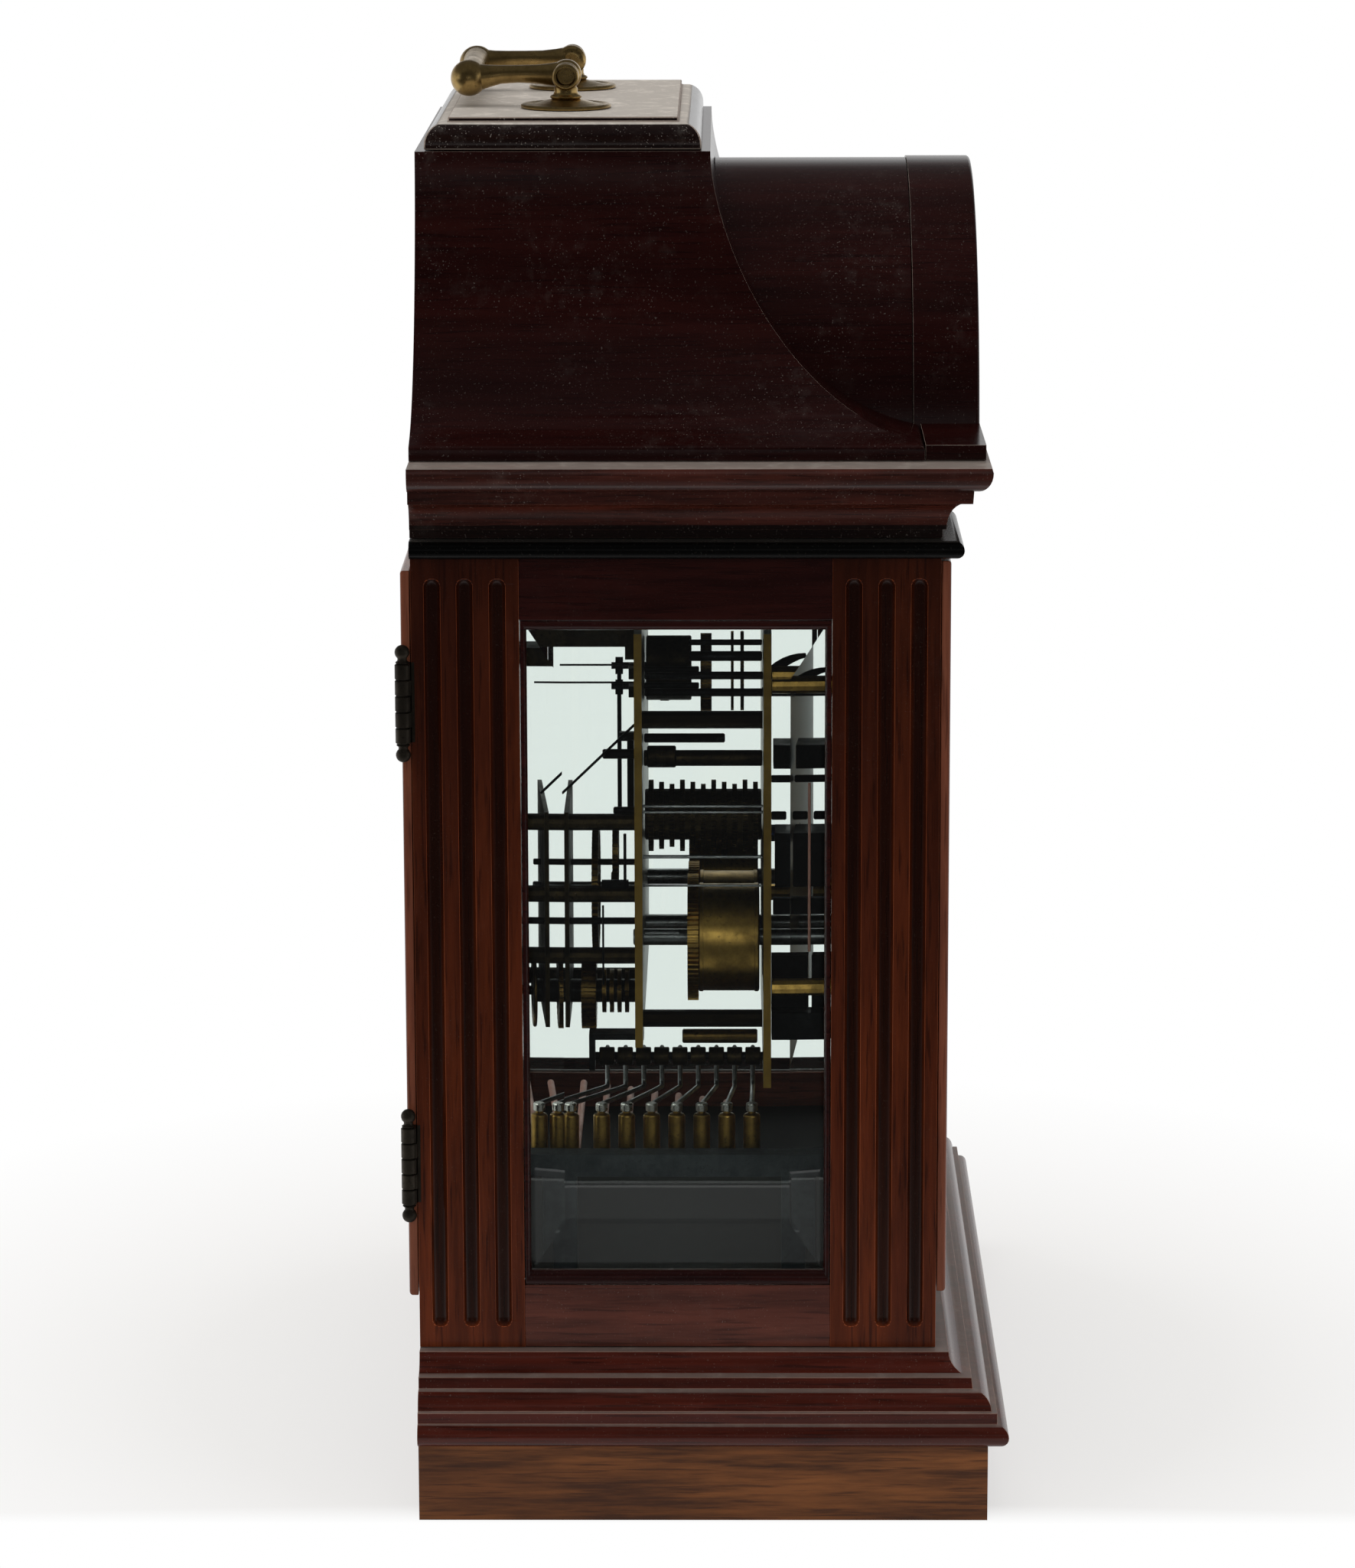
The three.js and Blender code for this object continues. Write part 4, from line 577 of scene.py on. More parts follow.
def fluted_stile(side, middle, back, front):
    """An upright of the side frame, with three flutes in its face."""
    across = [0.0]
    for line in (-FLUTE_PITCH, 0.0, FLUTE_PITCH):
        across += [line + FLUTE_HALF * math.sin(math.radians(angle)) for angle in range(-90, 91, 12)]
    depths = sorted({back, front, *(round(middle + offset, 4) for offset in across)})
    low, high = FLUTE_ENDS
    rows = [2 * FLUTE_HALF * i / 16 for i in range(17)]
    heights = [SIDE_BOTTOM, *(low + row for row in rows), *(high - row for row in rows[::-1]), SIDE_TOP]
    rings = []
    for z in heights:
        face = [(side * (HALF_WIDTH - flute_depth(depth, z, middle)), depth, z) for depth in depths]
        rings.append(face + [(side * INSIDE_HALF, front, z), (side * INSIDE_HALF, back, z)])
    return Shape().loft(rings)


def add_side(side, name):
    """The frame round a side window, its bead and its bevelled pane."""
    stood_for = [f"side_frame_{name}"]
    spans = ((0.0, WINDOW_BACK), (WINDOW_FRONT, CASE_DEPTH))
    for place, middle, (back, front) in zip(("rear", "front"), STILE_MIDDLES, spans):
        stile = fluted_stile(side, middle, back, front)
        # The stiles' sharp edges get a brighter copy of their wood: a painted highlight.
        add_piece(f"side_stile_{place}_{name}", stile, upright_wood, replaces=stood_for,
                  smooth=40, bevel=0.4, edge_wear_and_highlight=land_edge_highlight)
    across = sorted((side * INSIDE_HALF, side * (HALF_WIDTH - 0.08)))
    depths = (WINDOW_BACK + 0.02, WINDOW_FRONT - 0.02)
    # The low rail takes the lighter copy of the wood: painted light from below.
    rails = (("top", (WINDOW_TOP, SIDE_TOP), rail_wood), ("low", (SIDE_BOTTOM, WINDOW_BOTTOM), lit_low_rail_wood))
    for place, up, finish in rails:
        rail = Shape().box(across, depths, up)
        add_piece(f"side_rail_{place}_{name}", rail, finish, replaces=stood_for, bevel=0.25)

    def window_ring(x, beside, above, below):
        back, front = WINDOW_BACK + 0.3 + beside, WINDOW_FRONT - 0.3 - beside
        low, high = WINDOW_BOTTOM + 0.3 + below, WINDOW_TOP - 0.3 - above
        corners = ((back, low), (front, low), (front, high), (back, high))
        return [(side * x, depth, z) for depth, z in corners]

    profile = [(0.0, 133.2), (0.0, 136.2), (0.25, 136.4)]
    profile += [*quarter((0.35, 136.3), (1.0, 133.9), False, 6), (1.0, 133.2)]
    rings = [window_ring(x, 2.0 * share, 3.2 * share, 4.4 * share) for share, x in profile]
    bead = Shape().loft(rings, looped=True)
    add_piece(f"glass_bead_piece_{name}", bead, rail_wood, replaces=[f"glass_bead_{name}"],
              bevel=0.15)

    steps = [(128.4, 0.0, 0.0), (130.9, 0.0, 0.0), (132.9, 13.0, 19.6)]
    pane = Shape().loft([window_ring(x, beside, above, above) for x, beside, above in steps])
    add_piece(f"side_pane_{name}", pane, clear_glass, replaces=[f"side_glass_{name}"],
              smooth=5)


def door_frame(outline, lip, body):
    """A door's frame: rounded outer edge, an ovolo round the glass, and the body behind the lip.

    The outline is drawn in by an inset. Lip holds the depths of the joint and the face, and body is the
    depth of the far side.
    """
    joint, face = lip
    away = math.copysign(1.0, face - joint)
    rings = []
    for inset, rise in [(0.0, 0.0), *quarter((0.0, 1.9), (1.1, 3.0), True, 5), (20.4, 3.0)]:
        rings.append((inset, joint + away * rise))
    rings += [(inset, joint + away * rise) for inset, rise in quarter((20.8, 2.7), (24.7, 0.4), False, 6)]
    rebate = joint - away * 0.25
    rings += [(24.7, rebate), (21.7, rebate), (21.7, body), (9.7, body), (9.7, joint)]
    return Shape().loft([[(x, depth, z) for x, z in outline(inset)] for inset, depth in rings], looped=True)


def rear_door_outline(inset):
    half, low, high = 136.0 - inset, 71.2 + inset, 312.0 - inset
    return [(-half, low), (half, low), (half, high), (-half, high)]


def front_door_outline(inset):
    half, low, shoulder, radius = 136.0 - inset, 72.7 + inset, 315.0 - inset, 79.0 - inset
    arch = [(radius, shoulder), *arc((0, ARCH_CENTRE), radius, 0, 180, 48), (-radius, shoulder)]
    return [(-half, low), (half, low), (half, shoulder), *arch, (-half, shoulder)]


def add_doors():
    rear = door_frame(rear_door_outline, (-0.3, -3.3), 9.0)
    add_piece("rear_door_piece", rear, door_wood, "rear_door", ["rear_door_frame"], bevel=0.25)
    front = door_frame(front_door_outline, (169.3, 172.3), 160.0)
    add_piece("front_door_piece", front, door_wood, "front_door", ["front_door_frame"],
              bevel=0.25)


# ---- hinges and handle


def add_hinge(place, height, middle, side, face, lip_faces):
    """A ball-tipped butt hinge: two leaves round one pin, with five knuckles."""
    depth = -2.7 if place == "rear" else 171.7
    x = side * HINGE_OUT
    low = middle - 2.5 * KNUCKLE_LENGTH
    leaf_inner = side * (HALF_WIDTH - 8.0)
    high = low + 5 * KNUCKLE_LENGTH
    for leaf, numbers in (("case", (1, 3)), ("door", (0, 2, 4))):
        if leaf == "case":
            body, proud = "case", 0.12
            faces = (face, face + math.copysign(1.0, CASE_DEPTH / 2 - face))
        else:
            body, proud, faces = f"{place}_door", -0.2, lip_faces
        shape = Shape()
        for number in numbers:
            start = low + number * KNUCKLE_LENGTH + 0.1
            length = KNUCKLE_LENGTH - 0.2
            rim = [(0.0, 1.2), (0.0, KNUCKLE_RADIUS - 0.3), (0.3, KNUCKLE_RADIUS)]
            profile = rim + [(length - along, radius) for along, radius in reversed(rim)]
            shape.turned(profile, (x, depth, start), (0, 0, 1), 24, looped=True)
            outer = side * (HINGE_OUT + KNUCKLE_RADIUS * 0.4)
            strap = sorted((side * (HALF_WIDTH + 0.05), outer))
            shape.box(strap, sorted((faces[0], depth)), (start + 0.1, start + length - 0.1))
        across = sorted((leaf_inner, side * (HALF_WIDTH + proud)))
        shape.box(across, sorted(faces), (low, high))
        if leaf == "door":
            shape.turned([(0, POINT), (0, 1.1), (26.0, 1.1), (26.0, POINT)], (x, depth, low), (0, 0, 1), 16)
            tip = [(-0.4, 1.1), (0.0, 1.9), (0.5, 2.2), (0.9, 1.7), (1.2, 1.5)]
            tip += [*ball(2.4, -50, 14, 3.7), (6.1, POINT)]
            shape.turned(tip, (x, depth, low), (0, 0, -1), 24)
            shape.turned(tip, (x, depth, high), (0, 0, 1), 24)
        name = f"{place}_hinge_{height}_{leaf}"
        add_piece(f"{name}_piece", shape, bronze, body, [f"{name}_leaf"], smooth=40)


def add_hinges():
    for height, middle in zip(("lower", "upper"), HINGE_MIDDLES):
        add_hinge("rear", height, middle, -1, 0.0, (-0.3, -1.3))
        add_hinge("front", height, middle, 1, CASE_DEPTH, (169.3, 170.3))


def add_handle():
    foot = 450.3
    rosette = [(0.0, POINT), (0.0, 14.8), (0.4, 15.0), (0.9, 14.8), (1.2, 14.2), (1.15, 13.4), (0.8, 12.6)]
    rosette += [(0.85, 11.8), (1.2, 10.4), (1.7, 8.4), (2.2, 6.4), (2.6, 5.0), (2.8, 4.5), (2.9, 4.9)]
    rosette += [(3.2, 5.2), (3.6, 5.2), (3.9, 4.8), (4.2, 4.2), (5.0, 3.9), (6.2, 3.9), (7.0, 3.3)]
    for side, name in ((-1, "left"), (1, "right")):
        x = side * POST_HALF_SPACING
        post = Shape().turned(rosette, (x, POST_DEPTH, foot), (0, 0, 1), 48)
        boss = [(0.0, 3.25), (-0.1, 3.7), (0.2, 4.2), (0.8, 4.4), (1.6, 4.25), (2.2, 4.05), (6.8, 4.05)]
        boss += [(7.4, 4.25), (8.2, 4.4), (8.8, 4.2), (9.1, 3.7), (9.0, 3.25)]
        post.turned(boss, (x - 4.5, POST_DEPTH, BAIL_AXIS), (1, 0, 0), 40, looped=True)
        add_piece(f"handle_post_piece_{name}", post, antique_brass,
                  replaces=[f"handle_post_{name}"], smooth=45)

    bail = Shape()
    corner, grip_half = POST_DEPTH - BAIL_REACH, 30.3
    for side in (-1, 1):
        x = side * grip_half
        eye = [(1.0, 5.0), (2.4, 4.8), (3.2, 3.9), (3.3, 2.0)]
        eye = [(-along, radius) for along, radius in reversed(eye)] + eye
        bail.turned(eye, (x, POST_DEPTH, BAIL_AXIS), (1, 0, 0), 32)
        pin = [(0.0, POINT), (0.0, 2.9), (3.0, 2.9), (3.0, POINT)]
        bail.turned(pin, (side * 33.0, POST_DEPTH, BAIL_AXIS), (side, 0, 0), 20)
        arm = [(2.0, 4.3, 0.0), (5.5, 3.7, 0.0), (10.0, 3.1, 0.1), (16.0, 2.9, 0.2), (22.0, 3.1, 0.0)]
        arm += [(BAIL_REACH - 6.5, 3.7, -0.5), (BAIL_REACH - 3.0, 4.5, -0.9), (BAIL_REACH, 4.8, -1.1)]
        path = [(x, POST_DEPTH - reach, BAIL_AXIS + rise) for reach, _, rise in arm]
        bail.tube(path, [radius for _, radius, _ in arm], 28)
        bail.turned(ball(6.0, -89, 10), (x, corner, BAIL_AXIS - 1.1), (0.6, 0.8, 0.0), 32)
    grip = [(12.0, 3.7), (21.0, 3.9), (26.0, 4.4), (grip_half, 4.5)]
    grip = [(-x, radius) for x, radius in reversed(grip)] + [(0.0, 3.9)] + grip
    bail.tube([(x, corner, BAIL_AXIS) for x, _ in grip], [radius for _, radius in grip], 28)
    add_piece("bail_piece", bail, antique_brass, "bail", ["bail_handle"], smooth=50)


# ---- the dial


def stroke(shape, start, end, width, back, front):
    """A straight mark between two points (across, up)."""
    start, end = Vector(start), Vector(end)
    along = (end - start).normalized()
    side = Vector((-along.y, along.x)) * width / 2
    shape.slab([tuple(p) for p in (start + side, end + side, end - side, start - side)], back, front)


def radial(angle, radius, offset=0.0, centre=DIAL_CENTRE):
    """A point at a clock angle in degrees, and an offset to its right."""
    turn = math.radians(angle)
    sine, cosine = math.sin(turn), math.cos(turn)
    return (radius * sine + offset * cosine, centre + radius * cosine - offset * sine)


NUMERALS = ("XII", "I", "II", "III", "IIII", "V", "VI", "VII", "VIII", "IX", "X", "XI")
LETTER_WIDTHS = {"I": 3.0, "V": 7.0, "X": 7.0}


def add_dial_marks():
    """Hour numerals, a minute track and the small arch dial's marks, in black wax."""
    marks = Shape()
    back, front = RING_FACE - 0.05, RING_FACE + 0.12
    for hour, numeral in enumerate(NUMERALS):
        angle = hour * 30
        left = -sum(LETTER_WIDTHS[letter] for letter in numeral) / 2
        for letter in numeral:
            width = LETTER_WIDTHS[letter]
            middle, right = left + width / 2, left + width
            lines = {
                "I": [((middle, 0), (middle, 1), 1.7)],
                "V": [((left + 1.2, 1), (middle, 0), 1.7), ((right - 1.2, 1), (middle, 0), 0.6)],
                "X": [((left + 1.2, 1), (right - 1.2, 0), 1.7), ((right - 1.2, 1), (left + 1.2, 0), 0.6)],
            }[letter]
            for (x0, rise0), (x1, rise1), thick in lines:
                ends = [radial(angle, 73.5 + 12 * rise, x) for x, rise in ((x0, rise0), (x1, rise1))]
                stroke(marks, *ends, thick, back, front)
            for rise in (0, 1):
                ends = [radial(angle, 73.5 + 12 * rise, x) for x in (left + 0.4, right - 0.4)]
                stroke(marks, *ends, 0.4, back, front)
            left = right
    for minute in range(60):
        outer = radial(minute * 6, 94.6)
        stroke(marks, radial(minute * 6, 90.6), outer, 1.1 if minute % 5 == 0 else 0.4, back, front)
    for radius in (67.4, 90.4, 94.8):
        points = [(radius * math.sin(t), DIAL_CENTRE + radius * math.cos(t)) for t in turns(120)]
        for first, second in zip(points, points[1:] + points[:1]):
            stroke(marks, first, second, 0.3, back, front)
    add_piece("dial_marks", marks, black_wax)

    small = Shape()
    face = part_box("arch_dial")
    level = CASE_BACK - face[0].y / MM
    for step in range(-6, 7):
        length = 8.0 if step % 3 == 0 else 4.5
        ends = [radial(step * 10, radius, centre=ARCH_DIAL_CENTRE) for radius in (37.0 - length, 37.0)]
        stroke(small, *ends, 0.9 if step % 3 == 0 else 0.45, level - 0.05, level + 0.12)
    add_piece("arch_dial_marks", small, black_wax)


def add_spandrels():
    """A pair of leafy scrolls in each corner of the dial plate."""
    scrolls = Shape()
    for across in (-1, 1):
        for up in (-1, 1):
            corner = Vector((across * 99.0, DIAL_CENTRE + up * 101.0))
            for lean in (0, 1):
                path = []
                for i in range(25):
                    t = i / 24
                    turn = math.radians(20 + 430 * t)
                    radius = 9.0 * (1 - 0.78 * t)
                    along = 21.0 - 11.0 * t - radius * math.cos(turn)
                    aside = 7.0 + radius * math.sin(turn) - 6.0 * (1 - t)
                    x, z = (along, aside) if lean else (aside, along)
                    path.append((corner.x - across * x, 150.1, corner.y - up * z))
                scrolls.tube(path, [1.5 - 0.9 * i / 24 for i in range(25)], 8)
            leaf = [(0.0, POINT), (0.0, 3.4), (0.8, 2.8), (1.3, 1.2), (1.5, POINT)]
            scrolls.turned(leaf, (corner.x - across * 5.0, 149.5, corner.y - up * 5.0), (0, 1, 0), 20)
    add_piece("dial_spandrels", scrolls, antique_brass, smooth=50)


# ---- the movement


def add_barrels():
    for train, (x, z) in BARRELS.items():
        drum = Shape()
        profile = [(0.0, POINT), (0.0, 17.9), (0.5, 18.5), (1.6, 18.5), (1.7, 18.2), (19.0, 18.2)]
        profile += [(19.1, 18.5), (20.2, 18.5), (20.7, 17.9), (20.7, POINT)]
        drum.turned(profile, (x, 91.1, z), (0, 1, 0), 96)
        drum.wheel(x, z, 21.5, 19.6, 76, 87.5, 91.2)
        add_piece(f"{train}_barrel_drum", drum, movement_brass, f"{train}_barrel",
                  [f"{train}_barrel"], smooth=30)
        arbor = Shape().rod(x, z, 2.8, 69.0, 153.4, 24)
        add_piece(f"{train}_barrel_arbor", arbor, steel, f"{train}_barrel", smooth=30)


def add_chime_drum():
    x, z = DRUM
    brass = Shape().wheel(x, z, 13.0, 11.2, 34, 51.0, 56.0)
    brass.rod(x, z, 12.6, 42.2, 43.4, 64)
    for number in range(4):
        back = 58.0 + 2.6 * number
        outline = []
        for i, turn in enumerate(turns(72)):
            radius = 7.5 if (i + 5 * number) % 18 < 14 else 5.4
            outline.append((x + radius * math.sin(turn), z + radius * math.cos(turn)))
        brass.slab(outline, back, back + 1.4)
    add_piece("chime_drum_wheels", brass, wheel_brass, "chime_drum", ["chime_drum"])
    arbor = Shape().rod(x, z, 4.0, 43.4, 69.7, 24).rod(x, z, 1.6, 33.0, 44.0, 16)
    add_piece("chime_drum_arbor", arbor, dark_steel, "chime_drum")


def add_chime_wheel():
    x, z = CHIME_WHEEL
    wheel = Shape()
    rim = [(0.0, 18.6), (0.0, 20.8), (2.2, 20.8), (2.2, 18.6)]
    wheel.turned(rim, (x, 54.7, z), (0, 1, 0), 64, looped=True)
    teeth = 60
    for number in range(teeth):
        turn = 360 * number / teeth
        tooth = [radial(turn + lean, radius, centre=0) for lean, radius in
                 ((-1.9, 20.7), (-0.9, 22.8), (0.9, 22.8), (1.9, 20.7))]
        wheel.slab([(x + dx, z + dz) for dx, dz in tooth], 54.7, 56.9)
    for number in range(4):
        spoke = [radial(90 * number + 20, radius, half, 0) for radius, half in
                 ((3.0, -1.4), (19.0, -0.9), (19.0, 0.9), (3.0, 1.4))]
        wheel.slab([(x + dx, z + dz) for dx, dz in spoke], 54.9, 56.7)
    wheel.rod(x, z, 4.6, 54.5, 57.3, 32)
    wheel.rod(x, z, 5.0, 61.0, 63.0, 32)
    add_piece("chime_wheel_piece", wheel, wheel_brass, "chime_wheel", ["chime_wheel"])
    arbor = Shape().rod(x, z, 1.5, 43.0, 69.7)
    add_piece("chime_wheel_arbor", arbor, steel, "chime_wheel")


def add_train_work():
    """What fills the movement beside the barrels: arbors, wheels, spools, levers and the dial work."""
    # Each arbor is a row of (across, up, radius, back, front), and each lever of (across, width, depths, up).
    arbors = Shape()
    for x, z, radius, back, front in (
        (-25, 262.2, 1.0, 88.0, 112.8), (-30, 258.7, 1.7, 88.0, 112.8), (-30, 254.1, 1.1, 72.8, 91.4),
        (-25, 250.7, 1.4, 72.8, 136.0), (-40, 238.0, 1.6, 72.8, 100.2), (-20, 253.2, 0.35, 43.8, 69.8),
        (-40, 211.1, 1.5, 115.8, 121.0), (-40, 211.1, 1.5, 123.0, 128.0), (-30, 221.7, 1.3, 115.8, 134.7),
        (-18, 189.9, 1.1, 43.2, 69.8), (-40, 174.4, 1.2, 35.3, 69.8), (-30, 210.7, 1.3, 62.1, 69.8),
        (-30, 230.4, 1.7, 58.5, 69.8),
    ):
        arbors.rod(x, z, radius, back, front)
    add_piece("train_arbors", arbors, dark_steel)

    bright = Shape()
    for z, radius in ((220.9, 0.5), (218.9, 0.5), (203.6, 0.6), (193.7, 0.4)):
        bright.rod(-69.5, z, radius, 72.8, 112.8, 10)
    bright.rod(-66, 176.5, 0.5, 73.2, 84.8, 10)
    add_piece("train_wires", bright, steel)

    spools = Shape().rod(-50, 233.2, 2.7, 72.8, 112.8, 24).rod(-50, 233.7, 3.7, 74.0, 83.7, 32)
    spools.rod(-10, 253.0, 7.8, 73.2, 88.7, 40).rod(-58, 215.6, 8.6, 73.4, 112.4, 40)
    for number in range(11):
        back = 74.6 + 3.5 * number
        worn_by = 0.7 * (number % 3)
        spools.wheel(-58, 215.2, 12.0 - worn_by, 10.6 - worn_by, 46, back, back + 1.6)
    add_piece("train_spools", spools, dark_brass)

    wheels = Shape().wheel(-5, 250.3, 10.0, 8.8, 40, 91.8, 95.6)
    wheels.wheel(-5, 250.8, 10.2, 9.0, 48, 102.2, 103.2).wheel(-5, 250.8, 10.2, 9.0, 48, 105.5, 106.7)
    wheels.wheel(-18, 193.6, 12.2, 10.8, 40, 61.6, 63.6).rod(-60, 139.2, 2.4, 85.7, 111.1, 24)
    add_piece("train_wheels", wheels, wheel_brass)

    levers = Shape()
    for x, width, depths, up in (
        (-30, 12, (116.6, 133.1), (226.4, 234.6)), (-40, 5, (129.8, 133.0), (218.0, 235.9)),
        (-55, 1, (130.8, 131.7), (208.6, 253.3)), (-50, 14, (117.0, 135.5), (190.2, 208.8)),
        (-57, 3, (116.3, 131.5), (181.0, 186.6)), (-57, 5, (115.8, 122.3), (146.9, 167.0)),
        (-57, 5, (123.6, 130.0), (146.9, 167.0)), (-57, 5, (129.0, 135.6), (154.6, 167.0)),
        (-62, 8, (115.8, 135.5), (139.3, 148.7)), (-10, 9, (67.4, 69.8), (253.7, 257.5)),
        (-12, 9, (67.2, 69.8), (247.2, 251.0)), (-20, 3, (64.1, 69.1), (233.0, 236.0)),
        (-25, 2, (66.8, 69.1), (208.8, 234.1)), (-47, 2, (65.8, 66.8), (187.4, 206.3)),
        (-47, 2, (58.4, 67.5), (187.6, 190.3)), (-50, 1, (58.5, 59.2), (154.6, 182.2)),
    ):
        levers.box((x - width / 2, x + width / 2), depths, up)
    curve = [(-40, 113.2 + 2.4 * i, 254.5 + 7.0 * math.sin(0.24 * i)) for i in range(7)]
    levers.tube(curve, [1.0, 1.3, 1.6, 1.6, 1.4, 1.1, 0.8], 10)
    levers.tube([(-40, 69.6, 242.6), (-40, 44.9, 218.8)], 0.5, 8)
    levers.tube([(-60, 36.8, 178.0), (-60, 33.2, 148.0)], 0.5, 8)
    add_piece("train_levers", levers, dark_steel, bevel=0.3)
    strip = Shape().tube([(-63, 123.0, 227.3), (-63, 123.0, 169.3)], 0.5, 10)
    add_piece("train_copper_rod", strip, copper)


def rod_depth(number):
    return 41.9 + 8.4 * number


def add_hammers():
    axis_x, axis_z = HAMMER_AXIS
    for number in range(9):
        hub, head = 60.0 + 6.2 * number, rod_depth(number) - (2.0 if number == 1 else 0.0)
        body = f"hammer_{number + 1}"
        x, z = HAMMER_HEAD_X, HAMMER_HEAD_BOTTOM
        weight = [(0.0, POINT), (0.0, 2.45), (0.5, 2.85), (11.6, 2.85), (12.2, 2.5), (12.5, 1.6)]
        weight += [(12.7, 1.25), (13.4, 1.25), (13.4, POINT)]
        add_piece(f"{body}_head", Shape().turned(weight, (x, head, z), (0, 0, 1), 28), movement_brass,
                  body, [body], smooth=35)
        cap = [(13.3, POINT), (13.3, 1.7), (13.6, 2.0), (15.7, 2.0), (16.1, 1.6), (16.1, POINT)]
        add_piece(f"{body}_cap", Shape().turned(cap, (x, head, z), (0, 0, 1), 24), nickel,
                  body)
        top = z + 15.3
        knee = x + 34.0
        path = [(axis_x + 2, hub, axis_z), (knee + 3, hub, axis_z + 0.6), (knee + 1.0, hub, axis_z + 0.2)]
        path += [(knee + 0.2, hub, axis_z - 1.2), (knee, hub, axis_z - 3.0), (knee, hub, 120.4)]
        path += [(knee - 0.6, hub, 118.9), (knee - 2.4, hub, 118.2), (x + 3.0, head, top - 0.4)]
        path += [(x + 0.8, head, top - 0.6), (x, head, top - 1.4)]
        wire = Shape().tube(path, 0.8, 12)
        add_piece(f"{body}_wire", wire, steel, body, smooth=60)
        sleeve = [(0.0, 1.7), (0.0, 2.8), (0.3, 3.1), (4.9, 3.1), (5.2, 2.8), (5.2, 1.7)]
        sleeve = Shape().turned(sleeve, (axis_x, hub - 2.6, axis_z), (0, 1, 0), 24, looped=True)
        add_piece(f"{body}_hub", sleeve, dark_brass, body)


def add_rods():
    rods = Shape()
    for number in range(9):
        length = 101 - 34 * number / 8
        profile = [(0.0, POINT), (0.0, 1.15), (length - 1.1, 1.2), (length - 0.5, 1.05)]
        profile += [(length - 0.1, 0.6), (length, POINT)]
        rods.turned(profile, (ROD_START, rod_depth(number), ROD_HEIGHT), (1, 0, 0), 16)
    add_piece("chime_rod_set", rods, copper, replaces=["chime_rods"], smooth=50)
    strip = Shape().box((ROD_START, -81.5), (39.0, 112.0), (100.5, 104.1))
    add_piece("chime_rod_strip", strip, dark_steel, bevel=0.3)


def finish_cad_nodes():
    """Finishes for the solids whose shape already says enough."""
    finishes = (
        (plinth_wood, "plinth"), (floor_board, "bottom_board"), (frame_wood, "rear_frame front_frame"),
        (movement_brass, "dial_plate"), (silvered, "chapter_ring arch_dial"), (iron, "chime_block"),
        (plate_brass, "front_plate back_plate"), (dark_brass, "chime_frame back_cock"),
        (dark_steel, "hammer_rail crutch"), (clear_glass, "rear_door_glass front_door_glass"),
        (blued_steel, "minute_hand hour_hand arch_dial_hand"),
    )
    for material, names in finishes:
        for name in names.split():
            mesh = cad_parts[name].data
            mesh.materials.clear()
            mesh.materials.append(material)
    bevelled = "plinth bottom_board back_plate front_plate chime_frame chime_block back_cock"
    for name in bevelled.split():
        round_edges(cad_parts[name], 0.3, 50)


# ---- the stage


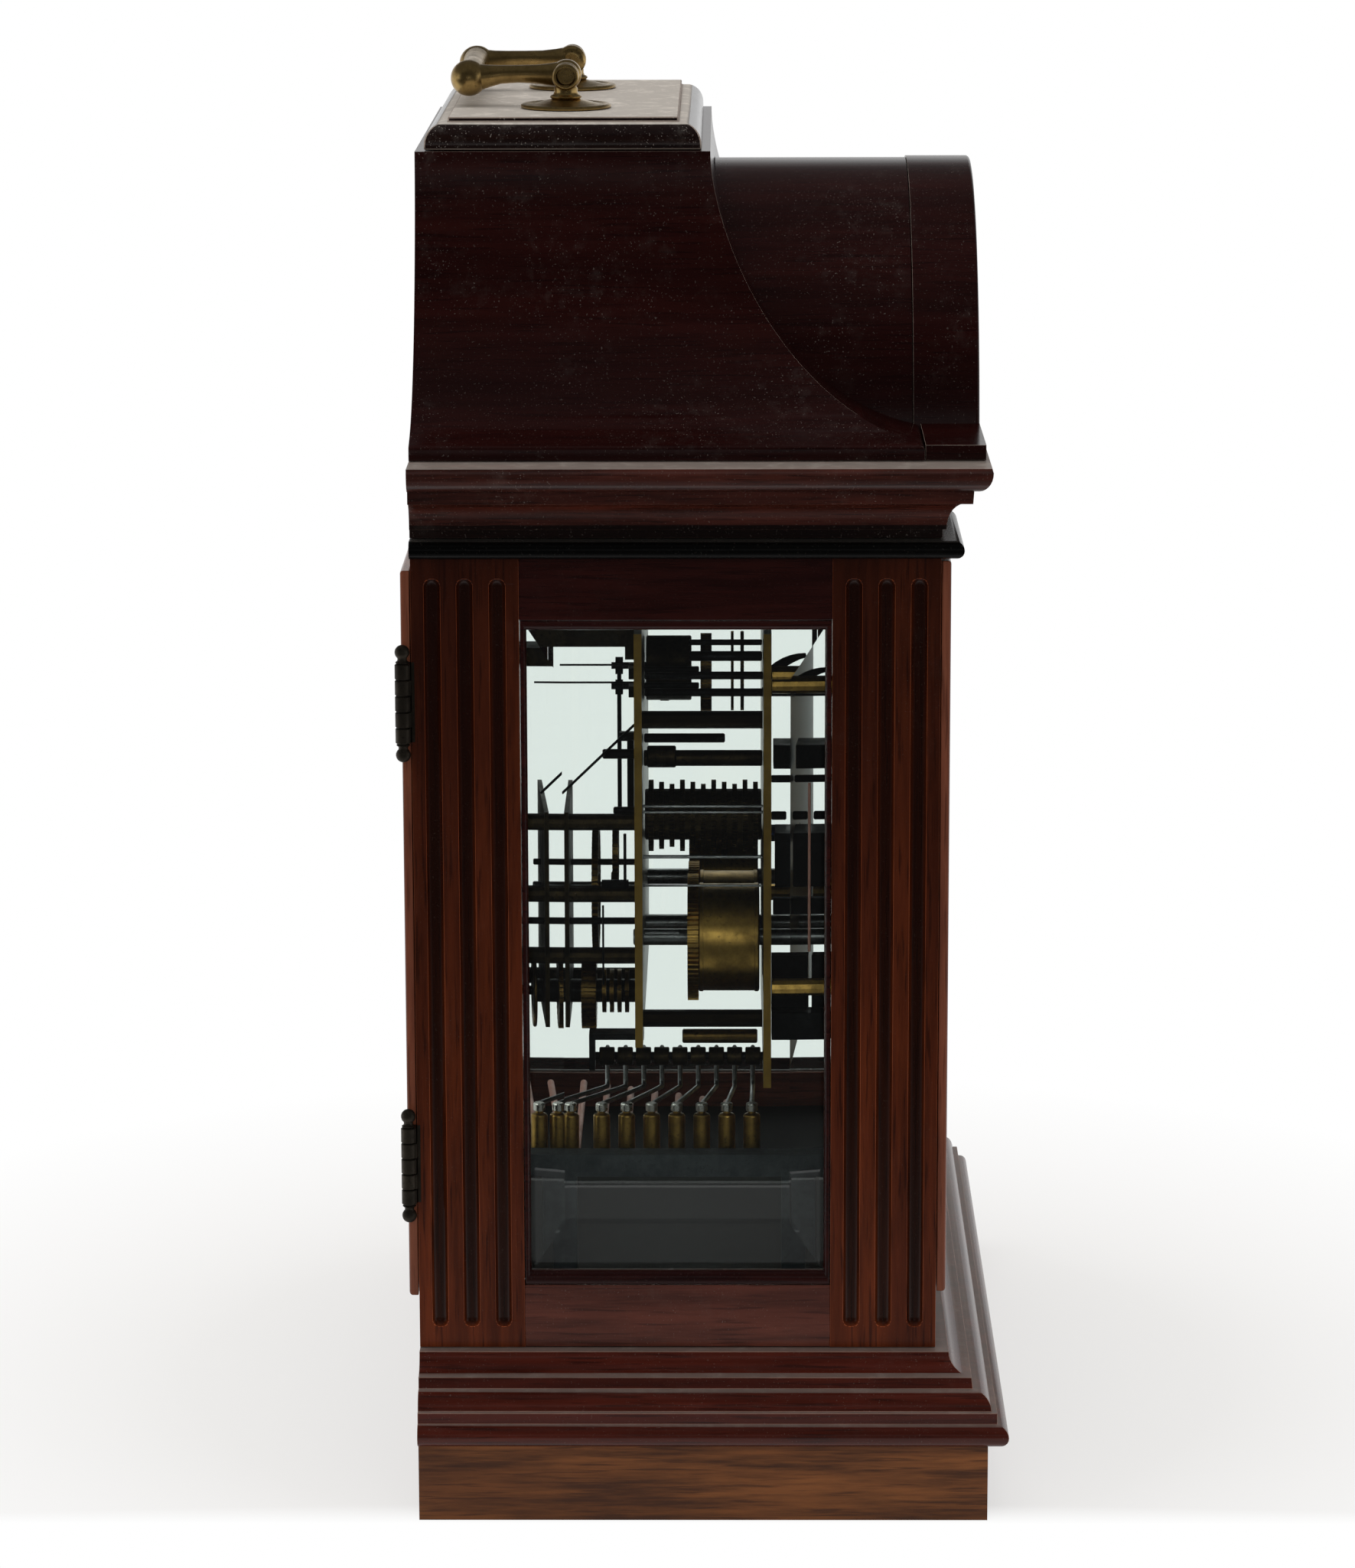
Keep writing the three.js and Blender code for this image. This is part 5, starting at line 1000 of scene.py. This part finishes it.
def add_stage():
    """A pale floor, plain soft light and the camera at the photograph's place."""
    scene = bpy.context.scene
    scene.view_settings.view_transform = "Standard"

    def sheet(name, corners, material):
        mesh = bpy.data.meshes.new(name)
        mesh.from_pydata(corners, [], [(0, 1, 2, 3)])
        mesh.materials.append(material)
        made = bpy.data.objects.new(name, mesh)
        scene.collection.objects.link(made)
        return made

    def level(left, right, half, z):
        return [(left, -half, z), (right, -half, z), (right, half, z), (left, half, z)]

    # The floor glows to the eye away from the clock, and takes shadows near it.
    pale = Finish("pale_floor", Roughness=0.8, Base_Color=colour("ece8e2"))
    rays = pale.add("ShaderNodeLightPath").outputs
    seen = pale.larger(pale.larger(rays["Is Camera Ray"], rays["Is Glossy Ray"]), rays["Is Transmission Ray"])
    away = pale.add("ShaderNodeVectorMath", {0: pale.place}, operation="LENGTH").outputs["Value"]
    beside = pale.span(pale.axis("X"), -0.139, -0.157, 0.6, 1.0)
    lit = pale.larger(pale.span(away, 0.18, 0.4, 0.6, 1.0), beside)
    shine = pale.add("ShaderNodeEmission", {"Strength": 1.0})
    pale.show(pale.blend(pale.times(seen, lit), pale.shader, shine))
    sheet("floor", level(-30, 30, 30, 0), pale.material)

    # What the left side's polish and glass mirror of the room. It shows in reflections only.
    patches = {
        "table_edge": (0.26, level(-0.49, -0.26, 6, 0.001)),
        "room_floor": (0.045, level(-9, -0.49, 6, 0.002)),
        "room_wall": (0.045, [(-4, -6, 0), (-4, 6, 0), (-4, 6, 5), (-4, -6, 5)]),
    }
    for name, (strength, corners) in patches.items():
        dim = Finish(name, Roughness=1.0)
        glow = dim.add("ShaderNodeEmission", {"Strength": strength})
        clear = dim.add("ShaderNodeBsdfTransparent")
        mirrored = dim.span(dim.add("ShaderNodeLightPath").outputs["Glossy Depth"], 0.0, 1.0)
        dim.show(dim.blend(mirrored, clear, glow))
        part = sheet(name, corners, dim.material)
        part.visible_camera = False
        part.visible_diffuse = False
        part.visible_shadow = False

    world = bpy.data.worlds.new("studio")
    scene.world = world
    sky = Nodes(world, "World Output", "Generated")
    rays = sky.add("ShaderNodeLightPath").outputs
    low = sky.nodes["Background"]
    sky.fill(low.inputs["Color"], (1, 1, 1, 1))
    sky.fill(low.inputs["Strength"], 0.5)
    high = sky.add("ShaderNodeBackground", {"Color": (1, 1, 1, 1), "Strength": 1.0})
    fading = sky.times(rays["Is Glossy Ray"], sky.span(sky.axis("Z"), 0.2, 0.42, 1.0, 0.14))
    graded = sky.add("ShaderNodeBackground", {"Strength": fading})
    direct = sky.larger(rays["Is Camera Ray"], rays["Is Transmission Ray"])
    sky.show(sky.blend(direct, sky.blend(rays["Is Glossy Ray"], low, graded), high))

    def lamp(name, place, target, size, power, glossy):
        data = bpy.data.lights.new(name, "AREA")
        data.shape = "RECTANGLE"
        data.size, data.size_y = size
        data.energy = power
        made = bpy.data.objects.new(name, data)
        scene.collection.objects.link(made)
        made.location = place
        made.rotation_mode = "QUATERNION"
        made.rotation_quaternion = (Vector(target) - Vector(place)).to_track_quat("-Z", "Y")
        made.visible_glossy = glossy
        made.visible_camera = False

    lamp("overhead", (0.3, 0.2, 2.4), (0, 0, 0), (2.6, 2.6), 34, False)
    lamp("room_side", (-3.2, -0.3, 1.1), (0, 0, 0.3), (2.4, 1.2), 14, False)
    lamp("window_glow", (-3.3, -0.2, 0.8), (0, 0, 0.25), (1.6, 0.3), 0.9, True)

    data = bpy.data.cameras.new("camera")
    data.lens = 123.4
    data.sensor_width = 36.0
    data.clip_start, data.clip_end = 0.05, 100
    camera = bpy.data.objects.new("camera", data)
    scene.collection.objects.link(camera)
    camera.location = (-1.8206, -0.0069, 0.6078)
    look = Vector((0.9773, 0.0090, -0.2119)).normalized()
    camera.rotation_mode = "QUATERNION"
    turn = look.to_track_quat("-Z", "Y")
    camera.rotation_quaternion = turn @ Matrix.Rotation(-0.0026, 3, "Z").to_quaternion()
    scene.camera = camera


add_mouldings()
add_bell_top()
add_arch()
add_side(-1, "left")
add_side(1, "right")
add_doors()
add_hinges()
add_handle()
add_dial_marks()
add_spandrels()
add_barrels()
add_chime_drum()
add_chime_wheel()
add_train_work()
add_hammers()
add_rods()
finish_cad_nodes()
add_stage()
